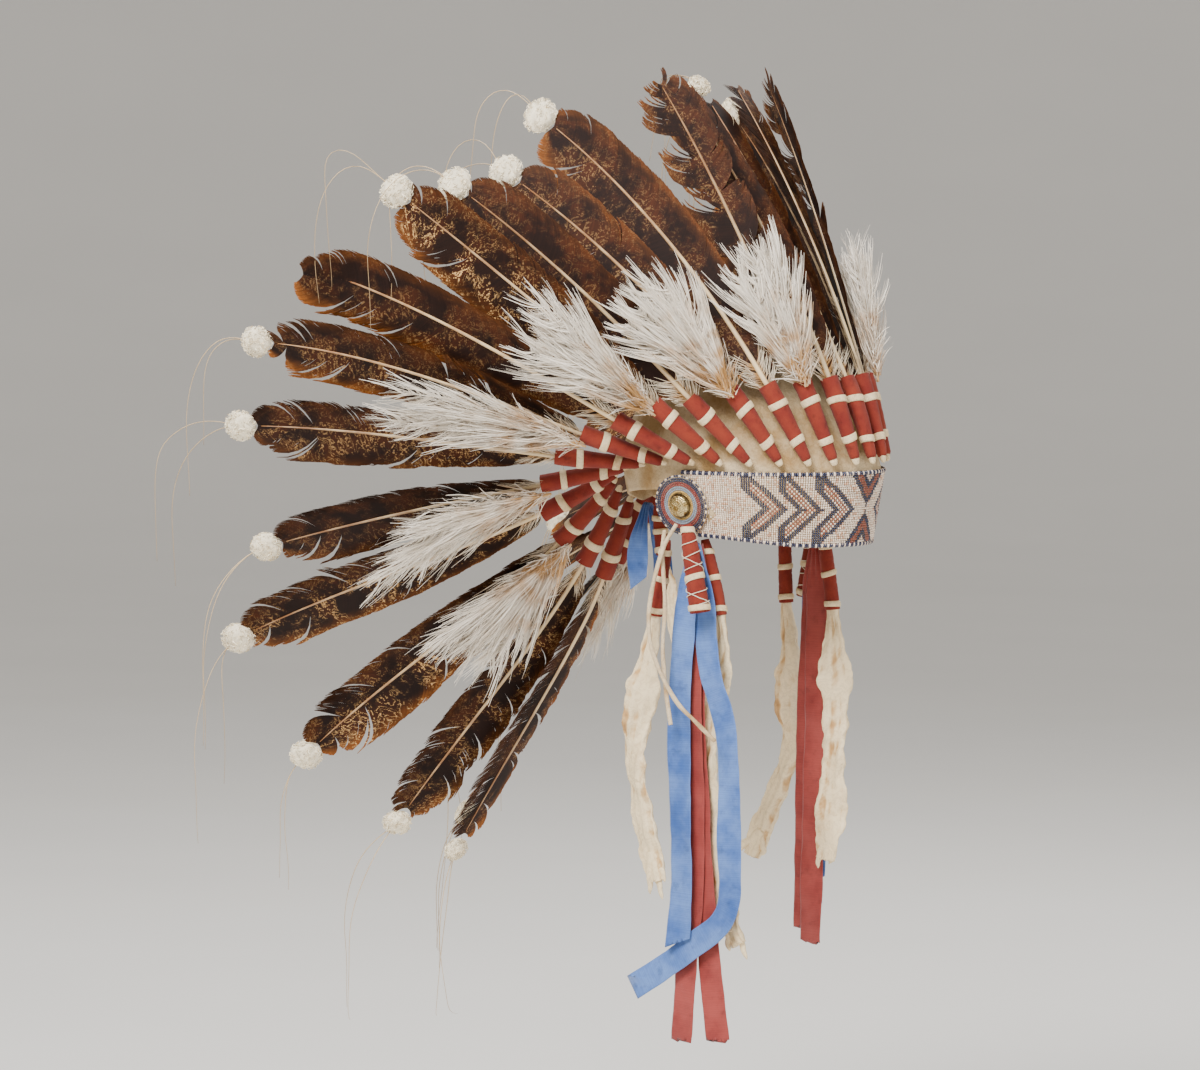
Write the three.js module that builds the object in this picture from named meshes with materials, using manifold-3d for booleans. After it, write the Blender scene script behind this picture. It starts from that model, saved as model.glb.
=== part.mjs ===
// Plains feathered headdress: a hide skullcap with a beaded brow band, a fan of 28
// wrapped tail feathers round the crown, down plumes over the feather bases, and hide
// drops and ribbons that hang at both temples and at the nape.
// Millimetres. +X is the wearer's front, +Y the wearer's left and +Z up. The origin is
// the centre of the head opening, level with the top edge of the brow band.
import * as THREE from 'three';
import { mergeVertices } from 'three/addons/utils/BufferGeometryUtils.js';
import Module from 'manifold-3d';

const manifold = await Module();
manifold.setup();

const { abs, cos, max, min, sin, sqrt, PI } = Math;
const DEG = PI / 180;

// Cap: the outer half lengths of its oval, its height and its hide wall.
const CAP_FRONT = 97.5;
const CAP_BACK = 107.5;
const CAP_SIDE = 76.5;
const CAP_HEIGHT = 92;
const CAP_WALL = 2.5;
const CAP_EDGE_Z = -14;
const CAP_NAPE_DIP = 14;
const CAP_SIDES = 28;
const BROW_SLOPE = 0.3;
const BROW_SLOPE_TOP = 55;
const CROWN_X = -10;

// Brow band, from temple to temple. It leans in towards its lower edge.
const BAND_HEIGHT_FRONT = 53;
const BAND_HEIGHT_TEMPLE = 46;
const BAND_THICKNESS = 2.5;
const BAND_LEAN = 9;
const BAND_END = 98 * DEG;
const BAND_STEPS = 30;

// Rosettes at the ends of the band, each with a domed metal boss.
const ROSETTE_RADIUS = 21;
const ROSETTE_THICKNESS = 3;
const ROSETTE_X = -14;
const ROSETTE_Z = -24;
const BOSS_RADIUS = 9;
const BOSS_HEIGHT = 5;

// Feathers: evenly spaced round the oval, number 0 at the brow and number 14 at the nape.
const FEATHER_COUNT = 28;
const NAPE = FEATHER_COUNT / 2;
const BASE_OFFSET = 4.5;
const BASE_Z = 6;
const BASE_NAPE_DROP = 31;
const SPLAY = 35 * DEG;
const QUILL_ROOT_PULL = 0.3;
const QUILL_TIP_PULL = 0.68;
const SHINGLE = 15 * DEG;
const MIDLINE_SHIFT = 3;
const WRAP_LENGTH = 66;
const WRAP_RADIUS = 6.5;
const VANE_START = 70;
const VANE_HALF_THICKNESS = 0.8;
const TUFT_LENGTH = 30;
const TUFT_FLATNESS = 0.4;

// Gap kept between pieces that touch.
const GAP = 0.3;

// Each row is one feather, from the brow to the nape: how far its wrapped base and its
// whole length lean from upright, and how far its outer part bows towards the brow, in
// degrees, its length, the vane's half widths on the side of the brow and on the side of
// the nape, and its tuft's radius. Without a tuft the vane runs to the tip.
const FEATHERS = [
  { base: 17, lean: 28, bow: 5, length: 311, leading: 22, trailing: 22, tuft: 10 },
  { base: 17, lean: 28, bow: 5, length: 305, leading: 21, trailing: 28, tuft: 0 },
  { base: 22, lean: 27, bow: 3, length: 303, leading: 21, trailing: 27, tuft: 0 },
  { base: 26, lean: 39, bow: 8, length: 324, leading: 25, trailing: 33, tuft: 14 },
  { base: 30, lean: 44, bow: 6, length: 293, leading: 25, trailing: 34, tuft: 14 },
  { base: 42, lean: 47, bow: 4, length: 292, leading: 25, trailing: 34, tuft: 14 },
  { base: 48, lean: 51, bow: 1, length: 309, leading: 25, trailing: 34, tuft: 14 },
  { base: 62, lean: 64, bow: 5, length: 315, leading: 25, trailing: 34, tuft: 0 },
  { base: 73, lean: 74, bow: 7, length: 319, leading: 25, trailing: 35, tuft: 14 },
  { base: 87, lean: 86, bow: 3, length: 304, leading: 25, trailing: 37, tuft: 14 },
  { base: 102, lean: 101, bow: 2, length: 275, leading: 25, trailing: 36, tuft: 14 },
  { base: 123, lean: 113, bow: 2, length: 310, leading: 26, trailing: 37, tuft: 15 },
  { base: 143, lean: 130, bow: 2, length: 316, leading: 25, trailing: 36, tuft: 14 },
  { base: 158, lean: 143, bow: 0, length: 303, leading: 23, trailing: 32, tuft: 12 },
  { base: 162, lean: 149, bow: 0, length: 297, leading: 23, trailing: 23, tuft: 11 },
];

// Each row is one down plume: the feather whose base it covers, its length, its width,
// and how far its end rises from the fan and sinks under its own weight.
const PLUMES = [
  { feather: 2, length: 100, width: 34, rise: 14, sag: 4 },
  { feather: 4, length: 112, width: 36, rise: 16, sag: 8 },
  { feather: 6, length: 122, width: 36, rise: 16, sag: 10 },
  { feather: 8, length: 140, width: 34, rise: 18, sag: 12 },
  { feather: 10, length: 132, width: 36, rise: 18, sag: 16 },
  { feather: 12, length: 112, width: 38, rise: 16, sag: 6 },
];

// Hanging pieces. A point is the place along X, the distance out from the middle of the
// head towards the piece's own side, and the height.
const DROP_WRAP_RADIUS = 5.5;
const DROP_WRAP_LENGTH = 56;
const DROP_HALF_WIDTH = 10;
const DROP_HALF_THICKNESS = 3.5;
const RIBBON_WIDTH = 19;
const RIBBON_THICKNESS = 1;
const KNOT_HALF_WIDTH = 5;
const KNOT_HALF_HEIGHT = 5;
const KNOT_HALF_THICKNESS = 2.6;
const THONG_RADIUS = 1.6;
const WRAPPED_HANGER_TOP = 4;
const WRAPPED_HANGER_END = 8;

const HIDE_DROPS = [
  {
    name: 'hide_drop_rear_r', side: -1,
    path: [[-25, 80, -50], [-34, 81, -106], [-40, 82, -138], [-50, 82, -188], [-52, 82, -212],
      [-46, 82, -248], [-36, 82, -284], [-30, 82, -312]],
  },
  {
    name: 'hide_drop_front_r', side: -1,
    path: [[-5, 60, -50], [8, 60, -106], [6, 60, -140], [-2, 60, -170], [-4, 60, -212],
      [1, 60, -268], [15, 60, -323], [30, 60, -356]],
  },
  {
    name: 'hide_drop_rear_l', side: 1,
    path: [[-28, 80, -50], [-27, 81, -106], [-24, 82, -140], [-23, 82, -188], [-22, 82, -210],
      [-38, 82, -253], [-54, 82, -288], [-62, 82, -310]],
  },
  {
    name: 'hide_drop_front_l', side: 1,
    path: [[20, 60, -52], [28, 60, -106], [30, 60, -143], [30, 60, -200], [28, 60, -245],
      [24, 60, -280], [20, 60, -306]],
  },
];

const HANGERS = [
  { name: 'wrapped_hanger_r', side: -1, top: [-5, 83.5, -38], end: [8, 85.5, -101] },
  { name: 'wrapped_hanger_l', side: 1, top: [-2, 83.5, -38], end: [-12, 85.5, -101] },
];

// A ribbon is knotted at its middle, so two tails hang from its knot. The last column
// turns the ribbon's face about its length, in degrees.
const RIBBONS = [
  {
    name: 'blue_ribbon_r', side: -1, colour: 0x4a70b4, knot: [-3, 74.5, -56],
    tails: [
      [[-4, 75.7, -56, 0], [-8, 76, -76, 0], [-14, 76, -130, 0], [-17, 76, -180, 8],
        [-16, 76, -240, 0], [-14, 77, -300, -10], [-17, 78, -350, 14]],
      [[-2, 73.3, -56, 0], [1, 73, -76, 0], [8, 73, -143, 0], [22, 73, -187, 8],
        [25, 73, -268, -6], [22, 73, -322, 0], [-8, 74, -348, 0], [-34, 75, -366, 0],
        [-58, 76, -381, 0]],
    ],
  },
  {
    name: 'red_ribbon_r', side: -1, colour: 0x9c3f38, knot: [-4, 69.4, -56],
    tails: [
      [[-5, 70.4, -56, 0], [-8, 70.5, -76, 0], [-10, 70.5, -140, -6], [-9, 70, -220, 0],
        [-9, 70, -300, 6], [-14, 70, -360, 0], [-19, 70, -422, -8]],
      [[-3, 68.2, -56, 0], [-4, 67.8, -76, 0], [-9, 67.8, -140, 0], [-5, 67.4, -250, 4],
        [2, 67, -340, 0], [12, 67, -420, -8]],
    ],
  },
  {
    name: 'red_ribbon_l', side: 1, colour: 0x9c3f38, knot: [6, 69, -56],
    tails: [
      [[5, 70, -56, 0], [4, 70, -90, 0], [3, 70, -120, 0], [-1, 70, -200, -4],
        [-2, 70, -280, 4], [-3, 70, -352, 0]],
      [[7, 68, -56, 0], [9, 67.4, -90, 0], [9, 67, -140, 0], [7, 66.8, -240, 0],
        [4, 66.8, -362, 6]],
    ],
  },
  {
    name: 'blue_ribbon_l', side: 1, colour: 0x4a70b4, knot: [4, 74.8, -56],
    tails: [
      [[3, 75.8, -56, 0], [1, 76, -90, 0], [-1, 76, -120, 0], [-3, 76, -220, 5],
        [-2, 77, -330, 0]],
      [[5, 73.8, -56, 0], [7, 73.6, -90, 0], [6, 73.4, -140, 0], [5, 73, -230, -5],
        [3, 73, -318, 0]],
    ],
  },
];

const THONGS = [
  {
    name: 'thong_long_r', side: -1,
    path: [[-14, 84, -38], [-19, 92.5, -54], [-30, 95, -98], [-28, 95, -128], [-7, 95, -165],
      [10, 94, -180], [26, 93, -193]],
  },
  {
    name: 'thong_short_r', side: -1,
    path: [[-25, 83, -43], [-23, 88.5, -57], [-20, 89.5, -98], [-22, 89.5, -128], [-19, 89.5, -160],
      [-15, 89.5, -184]],
  },
];

// The nape set hangs inside the back edge of the cap.
const NAPE_DROP = [[-88, 0, -32], [-82, 1, -70], [-76, 3, -96], [-66, 5, -124], [-60, 6, -150]];
const NAPE_RIBBON = {
  name: 'nape_ribbon', side: 1, colour: 0x4a70b4, knot: [-97, 0, -34.5],
  tails: [
    [[-97, -2, -34.5, 0], [-97, -8, -46, 10], [-97, -13, -64, 0], [-95, -15, -94, -10]],
    [[-97, 2, -34.5, 0], [-96, 8, -46, 0], [-93, 12, -64, 8], [-91, 13, -98, 0]],
  ],
};

/** Makes a point from a path row, mirrored to the row's own side of the head. */
function hangingPoint([x, out, z], side) {
  return new THREE.Vector3(x, side * out, z);
}

/** Makes one named mesh from vertices and triangles, and turns its faces outward. */
function closedMesh(name, vertices, triangles, finish) {
  const volume = triangles.reduce((sum, [a, b, c]) => {
    const cross = new THREE.Vector3().crossVectors(vertices[b], vertices[c]);
    return sum + vertices[a].dot(cross);
  }, 0);
  const faces = volume < 0 ? triangles.map(([a, b, c]) => [a, c, b]) : triangles;
  const geometry = new THREE.BufferGeometry().setFromPoints(vertices);
  geometry.setIndex(faces.flat());
  geometry.computeVertexNormals();
  return namedMesh(name, geometry, finish);
}

function namedMesh(name, geometry, finish) {
  const mesh = new THREE.Mesh(geometry, new THREE.MeshStandardMaterial(finish));
  mesh.name = name;
  return mesh;
}

/** Joins rings of equal point count into a closed skin, with a point or a flat at each end. */
function loft(name, rings, finish, firstPole = null, lastPole = null) {
  const count = rings[0].length;
  const vertices = rings.flat();
  const triangles = [];
  for (let row = 0; row + 1 < rings.length; row += 1) {
    for (let column = 0; column < count; column += 1) {
      const next = (column + 1) % count;
      const a = row * count + column;
      const b = row * count + next;
      triangles.push([a, b, b + count], [a, b + count, a + count]);
    }
  }
  const lastRow = (rings.length - 1) * count;
  closeEnd(vertices, triangles, 0, count, firstPole, true);
  closeEnd(vertices, triangles, lastRow, count, lastPole, false);
  return closedMesh(name, vertices, triangles, finish);
}

/** Closes a loft's open ring with a fan to its pole, or with a flat fan between its points. */
function closeEnd(vertices, triangles, start, count, pole, reversed) {
  const fan = [];
  if (pole) {
    vertices.push(pole);
    for (let column = 0; column < count; column += 1) {
      fan.push([start + column, start + (column + 1) % count, vertices.length - 1]);
    }
  } else {
    for (let column = 1; column + 1 < count; column += 1) {
      fan.push([start, start + column, start + column + 1]);
    }
  }
  triangles.push(...fan.map(([a, b, c]) => (reversed ? [b, a, c] : [a, b, c])));
}

/** A six-sided section: wide from left to right, and thick in the middle. */
function lensRing(centre, wide, thick, left, right, half) {
  const corners = [[right, 0], [right / 2, half], [-left / 2, half], [-left, 0],
    [-left / 2, -half], [right / 2, -half]];
  return corners.map(([across, up]) => centre.clone()
    .addScaledVector(wide, across).addScaledVector(thick, up));
}

/** A four-sided section for ribbons and bands. */
function stripRing(centre, wide, thick, halfWidth, half) {
  const corners = [[halfWidth, half], [-halfWidth, half], [-halfWidth, -half], [halfWidth, -half]];
  return corners.map(([across, up]) => centre.clone()
    .addScaledVector(wide, across).addScaledVector(thick, up));
}

function smooth(from, to, value) {
  return THREE.MathUtils.smoothstep(value, from, to);
}

/** Blends the value of one column down a table whose rows are ordered by `at`. */
function column(table, key, at) {
  const after = table.findIndex((row) => row.at >= at);
  if (after <= 0) {
    return after === 0 ? table[0][key] : table[table.length - 1][key];
  }
  const [low, high] = [table[after - 1], table[after]];
  return THREE.MathUtils.lerp(low[key], high[key], (at - low.at) / (high.at - low.at));
}

/** Turns a mesh into a solid that can be joined to another. */
function solidOf(mesh) {
  const bare = mesh.geometry.clone();
  bare.deleteAttribute('normal');
  bare.deleteAttribute('uv');
  const { attributes, index } = mergeVertices(bare, 1e-3);
  const vertProperties = attributes.position.array;
  const triVerts = new Uint32Array(index.array);
  return new manifold.Manifold(new manifold.Mesh({ numProp: 3, vertProperties, triVerts }));
}

/** Joins overlapping meshes into one named closed mesh. */
function fuse(name, meshes, finish) {
  const whole = meshes.map(solidOf).reduce((joined, solid) => joined.add(solid));
  const { vertProperties, triVerts } = whole.getMesh();
  const geometry = new THREE.BufferGeometry();
  geometry.setAttribute('position', new THREE.BufferAttribute(new Float32Array(vertProperties), 3));
  geometry.setIndex([...triVerts]);
  geometry.computeVertexNormals();
  return namedMesh(name, geometry, finish);
}

// ---------------------------------------------------------------- cap and brow band

/** A point on the cap's side wall, `offset` out from its outer face. Angle 0 is the brow. */
function wallPoint(angle, z, offset) {
  const inward = BAND_LEAN * min(0, z) / BAND_HEIGHT_FRONT;
  const along = (cos(angle) > 0 ? CAP_FRONT : CAP_BACK) + offset + inward;
  return new THREE.Vector3(along * cos(angle), (CAP_SIDE + offset + inward) * sin(angle), z);
}

/** How far round from the temple to the nape an angle is, from 0 to 1. */
function towardsNape(angle) {
  const fromBrow = abs(Math.atan2(sin(angle), cos(angle)));
  return max(0, (fromBrow - 95 * DEG) / (85 * DEG));
}

/** One ring of the cap: at a height on the side wall, or up the dome past the wall's top. */
function capRing(offset, climb) {
  const ring = [];
  for (let side = 0; side < CAP_SIDES; side += 1) {
    const angle = side * 2 * PI / CAP_SIDES;
    if (climb <= 0) {
      const edge = CAP_EDGE_Z - CAP_NAPE_DIP * towardsNape(angle) ** 2;
      ring.push(wallPoint(angle, -climb * edge, offset));
    } else {
      const point = wallPoint(angle, 0, offset).multiplyScalar(cos(climb));
      point.z = (CAP_HEIGHT + offset) * sin(climb);
      point.x -= BROW_SLOPE * min(point.z, BROW_SLOPE_TOP) * max(0, cos(angle));
      ring.push(point);
    }
  }
  return ring;
}

function makeCap() {
  const climbs = [-1, 0, 14 * DEG, 28 * DEG, 42 * DEG, 56 * DEG, 71 * DEG];
  const inner = climbs.map((climb) => capRing(-CAP_WALL, climb)).reverse();
  const outer = climbs.map((climb) => capRing(0, climb));
  const finish = { color: 0xcdb085, roughness: 0.9, metalness: 0, side: THREE.DoubleSide };
  return loft('cap', [...inner, ...outer], finish,
    new THREE.Vector3(CROWN_X, 0, CAP_HEIGHT - CAP_WALL), new THREE.Vector3(CROWN_X, 0, CAP_HEIGHT));
}

function makeBrowBand() {
  const rings = [];
  for (let step = 0; step <= BAND_STEPS; step += 1) {
    const angle = THREE.MathUtils.lerp(-BAND_END, BAND_END, step / BAND_STEPS);
    const taper = smooth(30 * DEG, BAND_END, abs(angle));
    const height = THREE.MathUtils.lerp(BAND_HEIGHT_FRONT, BAND_HEIGHT_TEMPLE, taper);
    const [inside, outside] = [GAP, GAP + BAND_THICKNESS];
    rings.push([
      wallPoint(angle, 0, inside), wallPoint(angle, 0, outside),
      wallPoint(angle, -height / 2, outside), wallPoint(angle, -height, outside),
      wallPoint(angle, -height, inside), wallPoint(angle, -height / 2, inside),
    ]);
  }
  return loft('brow_band', rings, { color: 0xe6d3c2, roughness: 0.45, metalness: 0 });
}

/** A group at one temple whose +Z looks outward, level with the middle of the band's end. */
function makeTemple(side) {
  const temple = new THREE.Group();
  const lean = Math.atan2(BAND_LEAN, BAND_HEIGHT_FRONT);
  const face = wallPoint(side * PI / 2, ROSETTE_Z, GAP * 2 + BAND_THICKNESS);
  temple.position.set(ROSETTE_X, face.y, ROSETTE_Z);
  temple.rotation.x = -side * (PI / 2 + lean);
  temple.name = side < 0 ? 'temple_r' : 'temple_l';
  return temple;
}

function makeRosette(suffix) {
  const disc = new THREE.CylinderGeometry(ROSETTE_RADIUS, ROSETTE_RADIUS, ROSETTE_THICKNESS, 32);
  disc.rotateX(PI / 2);
  const mesh = namedMesh(`rosette_${suffix}`, disc, { color: 0x2a2f57, roughness: 0.4, metalness: 0 });
  mesh.position.z = ROSETTE_THICKNESS / 2;
  return mesh;
}

function makeBoss(suffix) {
  const profile = [new THREE.Vector2(0, 0), new THREE.Vector2(BOSS_RADIUS, 0)];
  for (let step = 1; step <= 4; step += 1) {
    const climb = step * PI / 8;
    profile.push(new THREE.Vector2(step < 4 ? BOSS_RADIUS * cos(climb) : 0, BOSS_HEIGHT * sin(climb)));
  }
  const dome = new THREE.LatheGeometry(profile, 20);
  dome.rotateX(PI / 2);
  const mesh = namedMesh(`boss_${suffix}`, dome, { color: 0xb59a5c, roughness: 0.3, metalness: 1 });
  mesh.position.z = ROSETTE_THICKNESS + GAP;
  return mesh;
}

// ---------------------------------------------------------------- feathers

/** The quill's curve for one feather of the wearer's right side, from the brow to the nape. */
function quillCurve(index) {
  const row = FEATHERS[index];
  const angle = index * 2 * PI / FEATHER_COUNT;
  const base = wallPoint(-angle, 0, BASE_OFFSET);
  base.z = BASE_Z - BASE_NAPE_DROP * towardsNape(angle) ** 2;
  const outward = SPLAY * sin(PI * index / NAPE);
  const heading = new THREE.Vector3(-cos(outward), -sin(outward), 0);
  const along = (lean, distance) => base.clone()
    .addScaledVector(heading, distance * sin(lean * DEG))
    .add(new THREE.Vector3(0, 0, distance * cos(lean * DEG)));
  return new THREE.CubicBezierCurve3(base, along(row.base, QUILL_ROOT_PULL * row.length),
    along(row.lean - row.bow, QUILL_TIP_PULL * row.length), along(row.lean, row.length));
}

const QUILLS = FEATHERS.map((row, index) => quillCurve(index));

/** The point a distance along a feather's quill. Numbers past the nape or brow mirror over. */
function quillPoint(index, distance) {
  const mirrored = index < 0 || index > NAPE;
  const own = index < 0 ? -index : NAPE - abs(index - NAPE);
  const point = QUILLS[own].getPointAt(min(1, distance / QUILLS[own].getLength()));
  return mirrored ? point.setY(-point.y) : point;
}

/** The place, width and thickness directions a distance along a feather of the right side. */
function featherFrame(index, distance) {
  const curve = QUILLS[index];
  const along = curve.getTangentAt(min(1, distance / curve.getLength()));
  const span = quillPoint(index + 1, distance).sub(quillPoint(index - 1, distance));
  const wide = span.addScaledVector(along, -span.dot(along)).normalize();
  const thick = new THREE.Vector3().crossVectors(along, wide);
  const centre = quillPoint(index, distance);
  if (index === 0 || index === NAPE) {
    const shift = MIDLINE_SHIFT * smooth(WRAP_LENGTH / 2, VANE_START + WRAP_LENGTH / 2, distance);
    centre.addScaledVector(thick, index === 0 ? -shift : shift);
    return { centre, wide, thick };
  }
  const tilted = wide.clone().multiplyScalar(cos(SHINGLE)).addScaledVector(thick, -sin(SHINGLE));
  return { centre, wide: tilted, thick: thick.multiplyScalar(cos(SHINGLE)).addScaledVector(wide, sin(SHINGLE)) };
}

/** The sections of one feather: wrapped base, quill, vane and down tuft. */
function featherSections(row, length) {
  const end = row.tuft > 0 ? length - TUFT_LENGTH : length;
  const vane = (part) => VANE_START + part * (end - VANE_START);
  const sections = [
    { at: 0, spread: 0, round: 2.4 }, { at: 6, spread: 0, round: 3.7 },
    { at: 24, spread: 0, round: 5.2 }, { at: 48, spread: 0, round: WRAP_RADIUS },
    { at: WRAP_LENGTH - 2, spread: 0, round: WRAP_RADIUS },
    { at: WRAP_LENGTH, spread: 0, round: 2.2 },
    { at: vane(0), spread: 0.12, round: 0 }, { at: vane(0.12), spread: 0.5, round: 0 },
    { at: vane(0.32), spread: 0.86, round: 0 }, { at: vane(0.6), spread: 1, round: 0 },
    { at: vane(0.86), spread: 0.97, round: 0 },
  ];
  if (row.tuft === 0) {
    return [...sections, { at: vane(0.96), spread: 0.75, round: 0 }, { at: end, spread: 0.2, round: 0 }];
  }
  return [...sections, { at: end + 2, spread: 0.66, round: 0 },
    { at: length - 1.6 * row.tuft, spread: 0, round: row.tuft },
    { at: length - 0.6 * row.tuft, spread: 0, round: row.tuft * 0.9 },
    { at: length, spread: 0, round: row.tuft * 0.3 }];
}

function makeFeather(index, side) {
  const row = FEATHERS[index];
  const length = QUILLS[index].getLength();
  const base = quillPoint(index, 0);
  const rings = featherSections(row, length).map(({ at, spread, round }) => {
    const { centre, wide, thick } = featherFrame(index, at);
    const tuft = at > WRAP_LENGTH && round > 0;
    const half = round > 0 ? round * (tuft ? TUFT_FLATNESS : 0.87) : VANE_HALF_THICKNESS;
    const left = round + row.leading * spread;
    const right = round + row.trailing * spread;
    return lensRing(centre.sub(base), wide, thick, left, right, half);
  });
  if (side > 0) {
    rings.flat().forEach((point) => point.setY(-point.y));
  }
  const suffix = index % NAPE === 0 ? 'm' : side < 0 ? 'r' : 'l';
  const name = `feather_${String(index).padStart(2, '0')}_${suffix}`;
  const mesh = loft(name, rings, { color: 0x4a2814, roughness: 0.65, metalness: 0 });
  mesh.position.set(base.x, side < 0 ? base.y : -base.y, base.z);
  return mesh;
}

// ---------------------------------------------------------------- plumes

/** A down plume that starts over a feather's wrapped base and lies outside the fan. */
function makePlume(row, side) {
  const root = featherFrame(row.feather, WRAP_LENGTH - 6);
  const start = root.centre.clone().addScaledVector(root.thick, WRAP_RADIUS + 3.2);
  const over = featherFrame(row.feather, WRAP_LENGTH - 6 + row.length * 0.5);
  const middle = over.centre.clone().addScaledVector(over.thick, row.rise);
  const beyond = featherFrame(row.feather, WRAP_LENGTH - 6 + row.length);
  const end = beyond.centre.clone().addScaledVector(beyond.thick, row.rise + 4);
  end.z -= row.sag;
  const curve = new THREE.QuadraticBezierCurve3(start, middle, end);
  const widths = [[0, 0.12], [0.15, 0.42], [0.35, 0.85], [0.6, 1], [0.82, 0.8], [1, 0.3]];
  const rings = widths.map(([part, share]) => {
    const along = curve.getTangentAt(part);
    const wide = over.wide.clone().addScaledVector(along, -over.wide.dot(along)).normalize();
    const thick = new THREE.Vector3().crossVectors(along, wide);
    const half = share * row.width / 2;
    return lensRing(curve.getPointAt(part).sub(start), wide, thick, half, half, max(1, half * 0.36));
  });
  if (side > 0) {
    rings.flat().forEach((point) => point.setY(-point.y));
  }
  const name = `plume_${String(row.feather).padStart(2, '0')}_${side < 0 ? 'r' : 'l'}`;
  const mesh = loft(name, rings, { color: 0xe8ddcf, roughness: 0.95, metalness: 0 });
  mesh.position.set(start.x, side < 0 ? start.y : -start.y, start.z);
  return mesh;
}

// ---------------------------------------------------------------- hanging pieces

/** Sections along a smooth path. `shape` gives each ring from its place and directions. */
function sweep(name, points, steps, finish, shape) {
  const curve = new THREE.CatmullRomCurve3(points, false, 'centripetal');
  const length = curve.getLength();
  const rings = [];
  for (let step = 0; step <= steps; step += 1) {
    const part = step / steps;
    const along = curve.getTangentAt(part);
    const wide = new THREE.Vector3(1, 0, 0).addScaledVector(along, -along.x).normalize();
    const thick = new THREE.Vector3().crossVectors(along, wide);
    rings.push(shape(curve.getPointAt(part), wide, thick, part * length, length));
  }
  return loft(name, rings, finish);
}

/** A hide drop: a wool-wrapped round top, then a flat furry body that narrows to its toes. */
function makeHideDrop(name, points) {
  const profile = [
    { at: 0, wide: 3, thick: 3 }, { at: 14, wide: 5, thick: 5 },
    { at: DROP_WRAP_LENGTH, wide: DROP_WRAP_RADIUS, thick: DROP_WRAP_RADIUS },
    { at: DROP_WRAP_LENGTH + 8, wide: 5.5, thick: DROP_HALF_THICKNESS },
    { at: DROP_WRAP_LENGTH + 50, wide: DROP_HALF_WIDTH, thick: DROP_HALF_THICKNESS },
    { at: 10000, wide: DROP_HALF_WIDTH, thick: DROP_HALF_THICKNESS },
  ];
  const finish = { color: 0xe9cfa0, roughness: 0.9, metalness: 0 };
  return sweep(name, points, 18, finish, (centre, wide, thick, distance, length) => {
    const narrow = 1 - 0.55 * smooth(length - 60, length, distance);
    const halfWidth = column(profile, 'wide', distance) * narrow;
    const halfThickness = column(profile, 'thick', distance) * narrow;
    return lensRing(centre, wide, thick, halfWidth, halfWidth, halfThickness * 0.9);
  });
}

/** One tail of a ribbon, gathered at its knot and full width below it. */
function makeTail(rows, side, finish) {
  const points = rows.map((row) => hangingPoint(row, side));
  const turns = rows.map((row, index) => ({ at: index / (rows.length - 1), turn: row[3] }));
  return sweep('tail', points, 16, finish, (centre, wide, thick, distance, length) => {
    const turn = column(turns, 'turn', distance / length) * DEG;
    const halfWidth = RIBBON_WIDTH / 2 * (0.3 + 0.7 * smooth(0, 45, distance));
    const across = wide.clone().multiplyScalar(cos(turn)).addScaledVector(thick, sin(turn));
    const through = thick.clone().multiplyScalar(cos(turn)).addScaledVector(wide, -sin(turn));
    return stripRing(centre, across, through, halfWidth, RIBBON_THICKNESS / 2);
  });
}

function makeRibbon({ name, side, colour, knot, tails }) {
  const finish = { color: colour, roughness: 0.6, metalness: 0 };
  const [x, out, z] = knot;
  const ends = [[x, out, z + KNOT_HALF_HEIGHT], [x, out, z - KNOT_HALF_HEIGHT]];
  const points = ends.map((row) => hangingPoint(row, side));
  const head = sweep('knot', points, 3, finish, (centre, wide, thick, distance, length) => {
    const bulge = 0.6 + 0.4 * sin(PI * distance / length);
    return lensRing(centre, wide, thick, KNOT_HALF_WIDTH * bulge, KNOT_HALF_WIDTH * bulge,
      KNOT_HALF_THICKNESS * bulge);
  });
  return fuse(name, [head, ...tails.map((rows) => makeTail(rows, side, finish))], finish);
}

function makeHanger({ name, side, top, end }) {
  const points = [hangingPoint(top, side), hangingPoint(end, side)];
  const finish = { color: 0x7e2f26, roughness: 0.9, metalness: 0 };
  return sweep(name, points, 5, finish, (centre, wide, thick, distance, length) => {
    const radius = THREE.MathUtils.lerp(WRAPPED_HANGER_TOP, WRAPPED_HANGER_END,
      sqrt(distance / length));
    return lensRing(centre, wide, thick, radius, radius, radius * 0.87);
  });
}

/** A thong's round section, swept along its whole free length. */
function makeThong({ name, side, path }) {
  const section = new THREE.Shape();
  section.absarc(0, 0, THONG_RADIUS, 0, 2 * PI);
  const route = new THREE.CatmullRomCurve3(path.map((row) => hangingPoint(row, side)));
  const tube = new THREE.ExtrudeGeometry(section, { extrudePath: route, steps: 24, curveSegments: 4 });
  return namedMesh(name, tube, { color: 0xdcc39a, roughness: 0.85, metalness: 0 });
}

// ---------------------------------------------------------------- assembly

const headdress = new THREE.Group();
headdress.name = 'feathered_headdress';
headdress.add(makeCap(), makeBrowBand());

for (const side of [-1, 1]) {
  const suffix = side < 0 ? 'r' : 'l';
  const temple = makeTemple(side);
  temple.add(makeRosette(suffix), makeBoss(suffix));
  headdress.add(temple);
  for (let index = 1; index < NAPE; index += 1) {
    headdress.add(makeFeather(index, side));
  }
  PLUMES.forEach((row) => headdress.add(makePlume(row, side)));
}
headdress.add(makeFeather(0, -1), makeFeather(NAPE, -1));

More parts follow.
